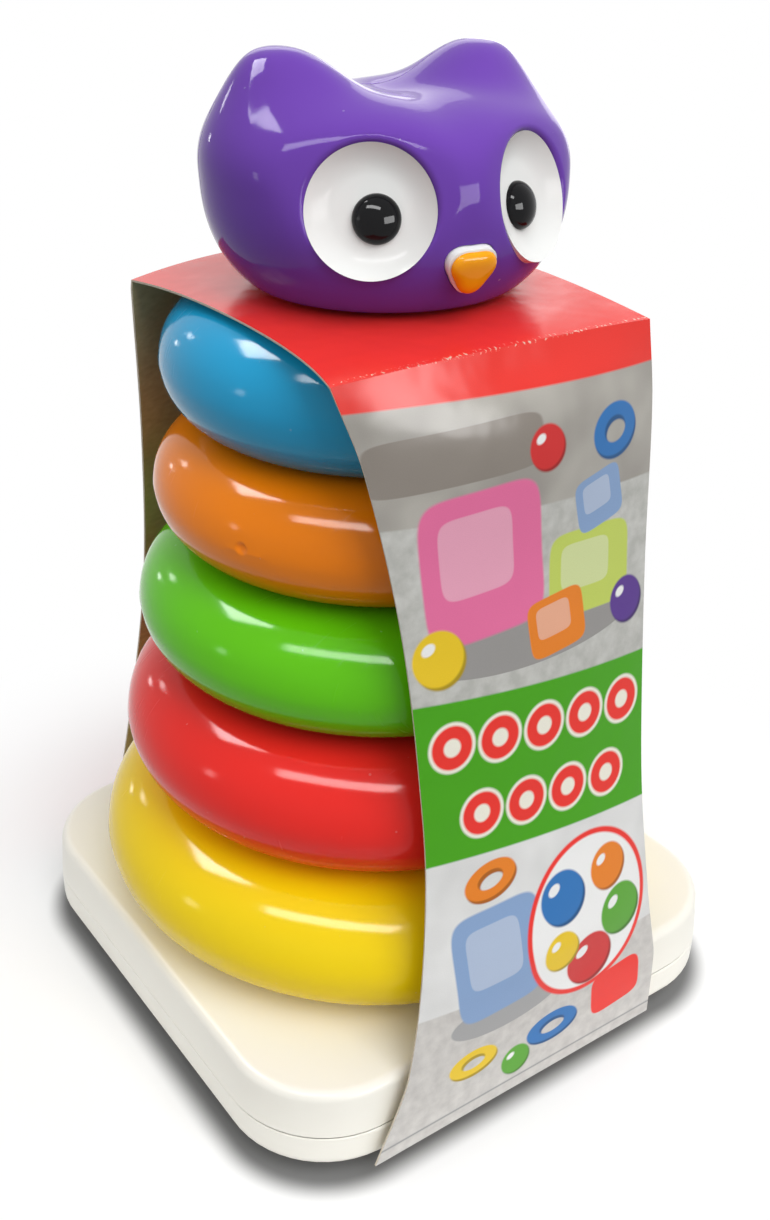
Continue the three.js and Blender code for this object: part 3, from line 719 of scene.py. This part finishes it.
def top_station(share):
    """The top panel from the front fold (0) to the back fold (1)."""
    off = (2 * share - 1) ** 2
    ends = off**2
    front_half, front_drift = front_outline[-1][1] * mm, front_outline[-1][2] * mm
    end_drift = front_drift if share < 0.5 else back_outline[-1][2] * mm
    return {
        "edge": (-front_fold + (back_fold + front_fold) * share, card_top - corner_droop * off),
        "middle": (
            -front_reach + (back_reach + front_reach) * share,
            card_top - top_crown * off * ends,
        ),
        "half": top_half + (front_half - top_half) * ends,
        "drift": top_drift + (end_drift - top_drift) * ends,
    }


shares = [i / panel_rows for i in range(panel_rows)]
front_rows = [panel_station(-1, share, front_outline, front_fold, front_reach) for share in shares]
back_rows = [panel_station(1, share, back_outline, back_fold, back_reach) for share in shares]
over_rows = [top_station(i / top_rows) for i in range(top_rows + 1)]
card_rows = front_rows + over_rows + back_rows[::-1]

shape = bmesh.new()
bmesh.ops.create_grid(shape, x_segments=card_across, y_segments=len(card_rows) - 1, size=1)
shape.verts.ensure_lookup_table()
print_map = shape.loops.layers.uv.new("print")
run = 0.0
runs = []
previous = None
for station in card_rows:
    here = Vector(station["middle"])
    run += (here - previous).length if previous else 0.0
    previous = here
    runs.append(run)
fold_run = runs[panel_rows]
corner_of = {}
for corner in shape.verts:
    column = round((corner.co.x + 1) / 2 * card_across)
    row = round((corner.co.y + 1) / 2 * (len(card_rows) - 1))
    corner_of[corner] = (column, row)
for corner, (column, row) in corner_of.items():
    station = card_rows[row]
    u = 2 * column / card_across - 1
    bow = 1 - u * u
    edge, middle = station["edge"], station["middle"]
    corner.co = (
        station["drift"] + station["half"] * u,
        edge[0] + (middle[0] - edge[0]) * bow,
        edge[1] + (middle[1] - edge[1]) * bow,
    )
for face in shape.faces:
    for loop in face.loops:
        column, row = corner_of[loop.vert]
        if row <= panel_rows:
            height = loop.vert.co.z
        else:
            height = fold_height + runs[row] - fold_run
        loop[print_map].uv = Vector((loop.vert.co.x, height)) / (print_mm * mm)
turn_outwards(shape)
for face in shape.faces:
    row = min(corner_of[v][1] for v in face.verts)
    face.material_index = 1 if row < split_row else 0 if row < panel_rows else 2


def open_print(name):
    """A material for a part of the print, and the sockets for the place on it."""
    material, tree, shader = new_material(name)
    place = add_node(tree, "UVMap", uv_map="print").outputs["UV"]
    parts = add_node(tree, "SeparateXYZ", {0: place}).outputs
    return material, tree, shader, place, parts["X"], parts["Y"]


def step_up(value, level, blur=edge_blur):
    """0 below a level and 1 above it, with a soft edge."""
    return add_range(tree, value, level - blur, level + blur)


def both(first, second):
    return add_math(tree, "MULTIPLY", first, second)


def invert(value):
    return add_math(tree, "SUBTRACT", 1.0, value)


def above_line(height, rise_per_width):
    """1 above a line that crosses the middle at a height (mm) with a slope."""
    line = add_math(tree, "MULTIPLY_ADD", across_print, rise_per_width, height / print_mm)
    return step_up(add_math(tree, "SUBTRACT", up_print, line), 0.0)


def move_print(x, y, width, height, turn):
    """The place on the print, seen from a motif with its middle at x, y and its size in millimetres."""
    values = {"Vector": print_uv, "Location": (x / print_mm, y / print_mm, 0), "Rotation": (0, 0, turn)}
    values["Scale"] = (width / 2 / print_mm, height / 2 / print_mm, 1)
    return add_node(tree, "Mapping", values, vector_type="TEXTURE").outputs[0]


def oval_distance(x, y, width, height, turn=0.0):
    """1 on the outline of an oval, and less inside it."""
    return vector_length(tree, move_print(x, y, width, height, turn))


def oval(x, y, width, height, turn=0.0):
    return invert(step_up(oval_distance(x, y, width, height, turn), 1.0, 0.6 / max(width, height)))


def hoop(x, y, width, height, hole, turn=0.0):
    """An oval ring whose hole is a share of its size."""
    distance = oval_distance(x, y, width, height, turn)
    blur = 0.6 / max(width, height)
    return both(step_up(distance, hole, blur), invert(step_up(distance, 1.0, blur)))


def slab(x, y, width, height, turn=0.0, corner=0.35):
    """A block with round corners."""
    parts = add_node(tree, "SeparateXYZ", {0: move_print(x, y, width, height, turn)}).outputs
    power = 2 / corner
    sides = [add_math(tree, "POWER", add_math(tree, "ABSOLUTE", parts[axis]), power) for axis in ("X", "Y")]
    return invert(step_up(add_math(tree, "ADD", *sides), 1.0, 0.12))


def ink(under, mask, colour):
    """Prints a colour over what is under it, where the mask is 1."""
    return mix_colours(tree, under, mask, (*colour, 1) if isinstance(colour, tuple) else colour)


def soft_noise(scale, low, high, detail=2.0):
    return add_range(tree, add_noise(tree, print_uv, scale, detail), low, high)


print_red = (0.82, 0.036, 0.026)
print_green = (0.06, 0.35, 0.004)
print_cream = (0.86, 0.83, 0.72)
print_white = (0.84, 0.84, 0.83)
cracked_edge = (0.82, 0.66, 0.52)
toy_inks = {
    "yellow": (0.80, 0.55, 0.02),
    "red": (0.62, 0.03, 0.03),
    "green": (0.10, 0.36, 0.03),
    "orange": (0.78, 0.22, 0.02),
    "blue": (0.03, 0.17, 0.46),
    "purple": (0.10, 0.04, 0.26),
    "pink": (0.76, 0.16, 0.34),
    "lime": (0.52, 0.62, 0.12),
    "sky": (0.24, 0.36, 0.58),
}


def print_block(picture, x, y, width, height, name, turn):
    """A toy block with a paler face."""
    pale = tuple(0.25 + 0.7 * channel for channel in toy_inks[name])
    picture = ink(picture, slab(x, y, width, height, turn, 0.35), toy_inks[name])
    face = slab(x - 0.06 * width, y + 0.08 * height, 0.6 * width, 0.55 * height, turn, 0.35)
    return ink(picture, face, pale)


def print_ball(picture, x, y, size, name):
    """A ball with its shadow and its highlight."""
    dark = tuple(0.5 * channel for channel in toy_inks[name])
    picture = ink(picture, oval(x + 0.05 * size, y - 0.07 * size, size, size), dark)
    picture = ink(picture, oval(x, y, size, size), toy_inks[name])
    return ink(picture, oval(x - 0.18 * size, y + 0.2 * size, 0.28 * size, 0.2 * size, 0.5), print_white)


def print_ring(picture, x, y, width, height, name, turn=0.0):
    """A loose ring lying on the printed floor."""
    deep = tuple(0.5 * channel for channel in toy_inks[name])
    picture = ink(picture, hoop(x + 0.4, y - 0.9, width, height, 0.46, turn), deep)
    return ink(picture, hoop(x, y, width, height, 0.5, turn), toy_inks[name])


def draw_band(picture, rows):
    """Rows of ring motifs on the green band."""
    for height, places in rows:
        for x in places:
            level = height - band_slope * x
            picture = ink(picture, oval(x, level, motif_rim, motif_rim), print_cream)
            picture = ink(picture, hoop(x, level, motif_size, motif_size, motif_hole), print_red)
    return picture


def wear_fold(picture):
    """The varnish has cracked to white flecks along the fold."""
    fold_level = (fold_height + card_top) / 2 / (print_mm * mm)
    off = add_math(tree, "ABSOLUTE", add_math(tree, "SUBTRACT", up_print, fold_level))
    flecks = both(invert(step_up(off, fleck_reach, fleck_blur)), soft_noise(140.0, 0.56, 0.64, 3.0))
    return ink(picture, flecks, cracked_edge)


def close_print(picture):
    """Puts a finished picture under the wavy varnish."""
    grain = add_range(tree, add_noise(tree, print_uv, 420.0, 1.0), to_low=0.93, to_high=1.07)
    inked = add_node(tree, "VectorMath", {0: picture, "Scale": grain}, operation="SCALE")
    sheen = add_range(tree, soft_noise(9.0, 0.3, 0.7), to_low=0.16, to_high=0.26)
    waves = add_bump(tree, add_noise(tree, print_uv, 7.0), 0.35, 1.2 * mm)
    varnish = {"Roughness": sheen, "Normal": waves, "Specular IOR Level": 0.2}
    fill_inputs(tree, shader, {"Base Color": inked.outputs[0], **varnish})


upper_print, tree, shader, print_uv, across_print, up_print = open_print("upper print")
room_wall = ink((0.33, 0.31, 0.28, 1), soft_noise(5.0, 0.35, 0.65), (0.44, 0.42, 0.38))
rug = ink((0.44, 0.44, 0.41, 1), soft_noise(24.0, 0.35, 0.7, 4.0), (0.58, 0.58, 0.55))
picture = ink(room_wall, invert(above_line(161, -0.05)), rug)
picture = ink(picture, slab(-20, 176, 44, 12, 0.03, 0.3), (0.26, 0.23, 0.20))
picture = ink(picture, oval(0, 131, 66, 14), (0.30, 0.29, 0.28))
blocks = [(-14, 151, 32, 34, "pink", 0.06), (17, 142, 26, 20, "lime", -0.05)]
blocks += [(6, 132, 17, 14, "orange", 0.1), (20, 158, 15, 13, "sky", 0.2)]
for block in blocks:
    picture = print_block(picture, *block)
for ball in ((-27, 132, 13, "yellow"), (29, 131, 11, "purple"), (3, 174, 10, "red")):
    picture = print_ball(picture, *ball)
picture = print_ring(picture, 25, 173, 15, 12, "blue", 0.1)
band = draw_band((*print_green, 1), [(108, (-25, -12, 1, 14, 27))])
picture = ink(band, above_line(119, -band_slope), picture)
picture = ink(picture, above_line(186.5, -0.04), print_red)
close_print(wear_fold(picture))

lower_print, tree, shader, print_uv, across_print, up_print = open_print("lower print")
low_wall = ink((0.66, 0.66, 0.65, 1), soft_noise(6.0, 0.35, 0.65), (0.76, 0.76, 0.75))
low_floor = ink((0.50, 0.48, 0.46, 1), soft_noise(30.0, 0.3, 0.7, 4.0), (0.62, 0.60, 0.57))
lower = ink(low_wall, invert(above_line(42, -0.04)), low_floor)
lower = ink(lower, oval(-14, 36, 34, 10), (0.36, 0.36, 0.36))
lower = print_block(lower, -16, 52, 26, 30, "sky", 0.05)
lower = print_ring(lower, -17, 74, 15, 9, "orange", 0.2)
lower = ink(lower, oval(13, 52, 42, 46), print_red)
lower = ink(lower, oval(13, 52, 39, 43), print_white)
balls = [(4, 61, 14, "blue"), (20, 63, 12, "orange"), (24, 49, 14, "green"), (13, 39, 15, "red")]
balls += [(3, 46, 11, "yellow"), (-10, 17, 9, "green")]
for ball in balls:
    lower = print_ball(lower, *ball)
lower = ink(lower, slab(24, 24, 17, 14, 0.1, 0.4), print_red)
lower = print_ring(lower, 2, 22, 17, 9, "blue")
lower = print_ring(lower, -24, 24, 15, 8, "yellow")
hem_line = both(step_up(up_print, hem_line_low), invert(step_up(up_print, hem_line_high)))
lower = ink(lower, hem_line, (0.30, 0.30, 0.30))
band = draw_band((*print_green, 1), [(90, (-18, -5, 8, 21))])
lower = ink(lower, above_line(79.5, -band_slope), band)
close_print(lower)

top_print, tree, shader, print_uv, across_print, up_print = open_print("top print")
close_print(wear_fold((*print_red, 1)))

kraft_inside, tree, shader = new_material("brown inside of card")
fibre_stretch = {"Vector": object_place(tree), "Scale": (300.0, 300.0, 900.0)}
fibre = add_noise(tree, add_node(tree, "Mapping", fibre_stretch).outputs[0], 1.0, 4.0)
kraft = ink((0.34, 0.27, 0.13, 1), fibre, (0.56, 0.46, 0.24))
fuzz = add_bump(tree, fibre, 0.3, 0.2 * mm)
fill_inputs(tree, shader, {"Base Color": kraft, "Normal": fuzz, "Roughness": 0.8})

cut_edge, tree, shader = new_material("cut edge of card")
pulp = ink((0.42, 0.36, 0.27, 1), add_noise(tree, object_place(tree), 1500.0), (0.68, 0.62, 0.52))
fill_inputs(tree, shader, {"Base Color": pulp, "Roughness": 0.85})

sleeve = finish_piece(shape, "card_sleeve", "sleeve", upper_print, crease=55)
for material in (lower_print, top_print, *[kraft_inside] * 3, *[cut_edge] * 3):
    sleeve.data.materials.append(material)
thicken(sleeve, card, material_offset=3, material_offset_rim=6)
hole = bmesh.new()
add_drum(hole, card_hole, hole_cut, 64, (0, 0, card_top))
carve(sleeve, hole)


# Owl head: two purple shells that meet in a line through the ears. The lump is an oval that is
# squarer upwards, with two ears, a saddle between them and a flat place round each eye.
head_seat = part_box("head_front_shell")[0].z
head_above_seat = 25.8 * mm
head_centre = head_seat + head_above_seat
head_turn = radians(-8)
half_wide, half_deep, crown, chin = 42.4 * mm, 40.4 * mm, 20.0 * mm, 33 * mm
fullness = 2.37
ear_rise = 12.2 * mm
ear_inner, ear_outer = 0.237, 0.42
ear_depth = 0.43
ear_raise = radians(45.2)
ear_lean = radians(6.3)
saddle_depth = 3.4 * mm
saddle_spread = 0.59
edge_softness = 1.2 * mm
head_joint = 8 * mm
joint_gap = 0.08 * mm
head_wall = 0.9 * mm
ear_limit = 26.6 * mm
floor_hole = 17 * mm
eye_radius = 13.8 * mm
eye_middle = Vector((20.1, -31.6, -1.6)) * mm
eye_turn = radians(29)
eye_tilt = radians(15)
lip_width = 1.5 * mm
lip_drop = 1.3 * mm
lip_start = 0.3 * mm
lip_wall = 3.5 * mm
eye_calm = 4 * mm
window_depth = 12 * mm
spacing_rounds = 40
smoothing_rounds = 6
head_cuts = 72
facing_least = 0.2
weld_reach = 0.02 * mm
purple = (0.15, 0.055, 0.40)


def eye_frame(side):
    """The middle of an eye, and its across, upright and outward directions."""
    outward = Vector((side * sin(eye_turn) * cos(eye_tilt), -cos(eye_turn) * cos(eye_tilt), sin(eye_tilt)))
    across = Vector((-outward.y, outward.x, 0)).normalized()
    return Vector((side * eye_middle.x, eye_middle.y, eye_middle.z)), across, outward.cross(across), outward


eyes = {side: eye_frame(side) for side in (-1, 1)}


def soft_min(first, second):
    low, gap = min(first, second), abs(first - second) / edge_softness
    return low if gap > 30 else low - edge_softness * log(1 + exp(-gap))


def head_point(direction, inset=0.0):
    """The point of the head's surface, or of a layer set inside it, in a direction from its middle."""
    direction = direction.normalized()
    direction.y = max(-1.0, min(1.0, direction.y))
    level = hypot(direction.x / half_wide, direction.y / half_deep)
    rise = abs(direction.z) / (crown if direction.z > 0 else chin)
    reach = (level**fullness + rise**fullness) ** (-1 / fullness)
    roll = atan2(abs(direction.x), direction.z)
    off_ear = roll - pi / 2 + ear_raise
    off_ear /= ear_outer if off_ear > 0 else ear_inner
    reach += ear_rise * exp(-(off_ear**2) - ((asin(direction.y) - ear_lean) / ear_depth) ** 2)
    if direction.z > 0:
        reach -= saddle_depth * direction.z * exp(-((roll / saddle_spread) ** 2))
    reach -= inset
    for middle, across, upright, outward in eyes.values():
        facing = direction.dot(outward)
        if facing > facing_least:
            reach = soft_min(reach, (middle.dot(outward) - inset) / facing)
    if direction.z > facing_least:
        reach = soft_min(reach, (ear_limit - inset) / direction.z)
    if direction.z < -facing_least:
        reach = soft_min(reach, (head_above_seat - inset) / -direction.z)
    return direction * reach


def head_skin(cuts, inset=0.0):
    """The head's surface as a cube blown up to its form, with even steps on every side."""
    skin = bmesh.new()
    bmesh.ops.create_cube(skin, size=2)
    bmesh.ops.subdivide_edges(skin, edges=skin.edges, cuts=cuts, use_grid_fill=True)
    for corner in skin.verts:
        even = Vector([tan(axis * pi / 4) for axis in corner.co])
        corner.co = head_point(even, inset)
    return skin


def loop_corners(edges):
    """The corners of a closed loop of edges, one after the other."""
    left = set(edges)
    corners = [edges[0].verts[0]]
    edge = edges[0]
    while edge:
        left.discard(edge)
        corners.append(edge.other_vert(corners[-1]))
        edge = next((e for e in corners[-1].link_edges if e in left), None)
    return corners[:-1]


def open_window(skin, frame_of_window, outline, first, stations, calm=0.6 * mm):
    """Opens the skin inside an outline and turns its rim in, from (share or reach, sink) stations."""
    middle, across, upright, outward = frame_of_window

    def flat(point):
        offset = point - middle
        return offset.dot(across), offset.dot(upright), offset.dot(outward)

    def angle_at(point):
        a, b = flat(point)[:2]
        return atan2(b, a)

    def is_inside(point, margin=0.0):
        a, b, c = flat(point)
        return abs(c) < window_depth and hypot(a, b) < outline(atan2(b, a)) + first + margin

    def place_at(angle, extra):
        reach = outline(angle) + extra
        return head_point(middle + across * (reach * cos(angle)) + upright * (reach * sin(angle)))

    doomed = [f for f in skin.faces if all(is_inside(v.co) for v in f.verts)]
    bmesh.ops.delete(skin, geom=doomed, context="FACES")
    rim = [e for e in skin.edges if e.is_boundary and all(is_inside(v.co) for v in e.verts)]

    loop = loop_corners(rim)
    angles = [angle_at(v.co) for v in loop]
    steps = [(b - a + pi) % tau - pi for a, b in zip(angles, angles[1:] + angles[:1])]
    for _ in range(spacing_rounds):
        steps = [(a + 2 * b + c) / 4 for a, b, c in zip(steps[-1:] + steps, steps, steps[1:] + steps[:1])]
    angle = angles[0]
    for corner, step in zip(loop, steps):
        corner.co = place_at(angle, first)
        angle += step
    near = [v for v in skin.verts if not v.is_boundary and is_inside(v.co, calm)]
    for _ in range(smoothing_rounds):
        bmesh.ops.smooth_vert(skin, verts=near, factor=0.5, use_axis_x=True, use_axis_y=True, use_axis_z=True)
        for corner in near:
            corner.co = head_point(corner.co)
    for extra, sink in stations:
        corners, rim = extrude_rim(skin, rim)
        for corner in corners:
            corner.co = place_at(angle_at(corner.co), extra) - outward * sink
    bmesh.ops.remove_doubles(skin, verts=skin.verts, dist=weld_reach)


# Place of the beak: on the face, below and between the eyes, square to the line from the middle of
# the head. The beak's outline is a rounded triangle with its point down.
beak_drop = 13.8 * mm
beak_wide, beak_high = 10.2 * mm, 9.8 * mm
beak_border = 0.45 * mm
beak_gap = 0.15 * mm
beak_lip_round = 0.5 * mm
beak_lip_wall = 2.6 * mm
beak_pick = 0.12
beak_base = head_point(Vector((0, -half_deep, -beak_drop)))
beak_tilt = atan2(beak_drop, half_deep)
beak_out = Vector((0, -cos(beak_tilt), -sin(beak_tilt)))
beak_frame = (beak_base, Vector((1, 0, 0)), beak_out.cross(Vector((1, 0, 0))), beak_out)


def beak_outline(grow):
    """How far a rounded triangle with its point down reaches at an angle."""

    def reach(angle):
        pick = 1 + beak_pick * cos(3 * (angle + pi / 2))
        return pick / hypot(cos(angle) / (beak_wide / 2 + grow), sin(angle) / (beak_high / 2 + grow))

    return reach


skin = head_skin(head_cuts)
lip = [(lip_width * (1 - sin(t)), lip_drop * (1 - cos(t))) for t in arc(7)]
eye_lip = [(lip_width + lip_start, 0.0)] + lip + [(0.0, lip_wall)]
for eye in eyes.values():
    open_window(skin, eye, lambda angle: eye_radius, lip_width + 3 * lip_start, eye_lip, calm=eye_calm)
beak_lip = [(beak_lip_round * (1 - sin(t)), beak_lip_round * (1 - cos(t))) for t in arc(4)]
beak_lip.append((0.0, beak_lip_wall))
open_window(skin, beak_frame, beak_outline(beak_border + beak_gap), 2 * beak_lip_round, beak_lip)
floor_frame = (Vector((0, 0, -head_above_seat)), Vector((1, 0, 0)), Vector((0, -1, 0)), Vector((0, 0, -1)))
open_window(skin, floor_frame, lambda angle: floor_hole, 0.0, [])
turn_outwards(skin)

purple_finish = {"roughness": 0.07, "mottle": 0.08, "scratches": 0.7, "peel": 0.7, "dust": 0.15}
purple_plastic = plastic("purple head plastic", purple, specular=0.08, **purple_finish)
head_place = Matrix.Translation((0, 0, head_centre)) @ Matrix.Rotation(head_turn, 4, "Z")
for node, front_side in (("head_front_shell", True), ("head_rear_shell", False)):
    half = skin.copy()
    bmesh.ops.bisect_plane(
        half,
        geom=list(half.verts) + list(half.edges) + list(half.faces),
        plane_co=(0, head_joint + (-joint_gap if front_side else joint_gap), 0),
        plane_no=(0, 1, 0),
        clear_outer=front_side,
        clear_inner=not front_side,
    )
    bmesh.ops.transform(half, matrix=head_place, verts=half.verts)
    shell = finish_piece(half, node, "head", purple_plastic, crease=50)
    thicken(shell, head_wall)
skin.free()


# Face insert: one white moulding behind the face. Its two dishes are the whites of the eyes, and
# its raised core shows as a border round the beak.
dish_drop = 1.05 * mm
dish_depth = 3.0 * mm
dish_flat = 7.4 * mm
dish_back = 1.8 * mm
dish_round = 1.5 * mm
dish_floor = -(dish_drop + dish_depth)
dish_foot = dish_floor - dish_back
dish_gap = 0.03 * mm
rim_radius = eye_radius - dish_gap
core_rise = 1.3 * mm
core_dome = 0.5 * mm
insert_behind = 2.7 * mm
insert_depth = 1.6 * mm


def stand_on(shape, frame_of_place):
    """Puts a shape made along +Z, with its top towards +Y, on a place of the head."""
    middle, across, upright, outward = frame_of_place
    turn = Matrix((across, upright, outward)).transposed().to_4x4()
    bmesh.ops.transform(shape, matrix=head_place @ Matrix.Translation(middle) @ turn, verts=shape.verts)


def add_part(shape, part, frame_of_place):
    """Puts a part of a piece on its place of the head and takes it into the piece."""
    stand_on(part, frame_of_place)
    shape.from_mesh(close_mesh(part, "part"))


def beak_block(grow, back, front, dome):
    """A block of the beak's outline whose front edge rounds over by a dome."""
    reach = beak_outline(grow)

    def row(scale, z):
        return lambda angle: Vector((scale * reach(angle) * cos(angle), scale * reach(angle) * sin(angle), z))

    stations = [row(0.02, back), row(1, back), row(1, front - dome)]
    stations += [row(sqrt(max(0.0, cos(t))), front - dome + dome * sin(t)) for t in arc(10)[1:-1]]
    shape = grow_rings(stations, 72, close=True)
    bmesh.ops.contextual_create(shape, geom=[e for e in shape.edges if e.is_boundary])
    bmesh.ops.recalc_face_normals(shape, faces=shape.faces)
    return shape


shape = bmesh.new()
for eye in eyes.values():
    profile = [(0, dish_foot), (rim_radius - dish_round, dish_foot)]
    profile += [(rim_radius, dish_foot + dish_round), (rim_radius, -dish_drop)]
    for step in range(1, 13):
        share = 1 - step / 12
        radius = dish_flat + (rim_radius - dish_flat) * share
        profile.append((radius, dish_floor + dish_depth * share**2))
    profile.append((0, dish_floor))
    add_part(shape, spin_profile(profile, 96), eye)
core = beak_block(beak_border, -insert_behind - insert_depth, core_rise, core_dome)
add_part(shape, core, beak_frame)
eye_colour = (0.82, 0.825, 0.81)
eye_white = plastic(
    "eye white plastic", eye_colour, roughness=0.1, mottle=0.015, scratches=0.3, peel=0.6, specular=0.06
)
finish_piece(shape, "face_insert", "head", eye_white)


# Pupils: glossy black buttons with a domed face, pressed into the dishes by a peg. They sit a
# little inwards and low, which gives the owl its look.
pupil_radius = 5.2 * mm
pupil_rise = 3.4 * mm
pupil_inward = 1.2 * mm
pupil_drop = 1.2 * mm
peg_radius, peg_length = 1.5 * mm, 3.6 * mm
pupil_lift = 0.05 * mm
pupil_low = dish_floor + pupil_lift
black = (0.006, 0.006, 0.007)
black_plastic = plastic(
    "black pupil plastic", black, roughness=0.06, mottle=0.0, scratches=0.8, peel=1.0, dust=0.5
)
for side, node in ((-1, "pupil_right"), (1, "pupil_left")):
    profile = [(0, pupil_low - peg_length), (peg_radius, pupil_low - peg_length), (peg_radius, pupil_low)]
    profile += [(pupil_radius * cos(t), pupil_low + pupil_rise * sin(t)) for t in arc(14)]
    shape = spin_profile(profile, 64)
    bmesh.ops.translate(shape, vec=(-side * pupil_inward, -pupil_drop, 0), verts=shape.verts)
    stand_on(shape, eyes[side])
    finish_piece(shape, node, "head", black_plastic, crease=50)


# Beak: a glossy orange cap, moulded as a rounded pick shape with a domed front. It is glued on the
# core of the face insert, which shows round it as a white border.
beak_rise = 3.2 * mm
beak_dome = 1.7 * mm
glue_gap = 0.02 * mm
orange = (0.96, 0.38, 0.004)
beak_orange = plastic("orange beak plastic", orange, roughness=0.1, mottle=0.12, scratches=0.4, peel=1.0)
shape = beak_block(0.0, core_rise + glue_gap, beak_rise, beak_dome)
stand_on(shape, beak_frame)
finish_piece(shape, "beak", "head", beak_orange, crease=50)


# Head socket: a tapered white cup whose flange is welded on the floor of the head. It drops over the
# tip of the post, so that the head sits straight on the stack.
socket_low, socket_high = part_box("head_socket")
socket_wall = 1.8 * mm
socket_flange = socket_high.x
flange_low = head_seat + 2.5 * mm
flange_high = flange_low + 1.5 * mm
socket_gap = 4.9 * mm


def socket_radius(height):
    return post_radius(height) + socket_gap


inner_top = socket_high.z - socket_wall
socket_foot = socket_radius(socket_low.z)
profile = [(socket_foot, socket_low.z), (socket_foot + socket_wall, socket_low.z)]
profile += [(socket_radius(flange_low) + socket_wall, flange_low), (socket_flange, flange_low)]
profile += [(socket_flange, flange_high), (socket_radius(flange_high) + socket_wall, flange_high)]
profile += [(socket_radius(inner_top) + socket_wall, socket_high.z), (0, socket_high.z), (0, inner_top)]
profile += [(socket_radius(inner_top), inner_top)]
shape = spin_profile(profile, 72, close=True)
finish_piece(shape, "head_socket", "head", white_plastic, crease=35)


# Rattle beads: five hard plastic balls, each with a fine mould line. They lie loose on the floor of
# the head round the socket and make the rattle.
bead_line = 0.08 * mm
bead_line_spread = 0.06
for number in range(1, 6):
    node = f"rattle_bead_{number}"
    low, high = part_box(node)
    middle = (low + high) / 2
    bead_radius = (high.z - low.z) / 2
    shape = bmesh.new()
    bmesh.ops.create_uvsphere(shape, u_segments=40, v_segments=25, radius=bead_radius - bead_line)
    for corner in shape.verts:
        level = corner.co.z / bead_radius
        corner.co *= 1 + bead_line / bead_radius * exp(-((level / bead_line_spread) ** 2))
    bmesh.ops.translate(shape, vec=middle, verts=shape.verts)
    finish_piece(shape, node, "beads", white_plastic, crease=60)
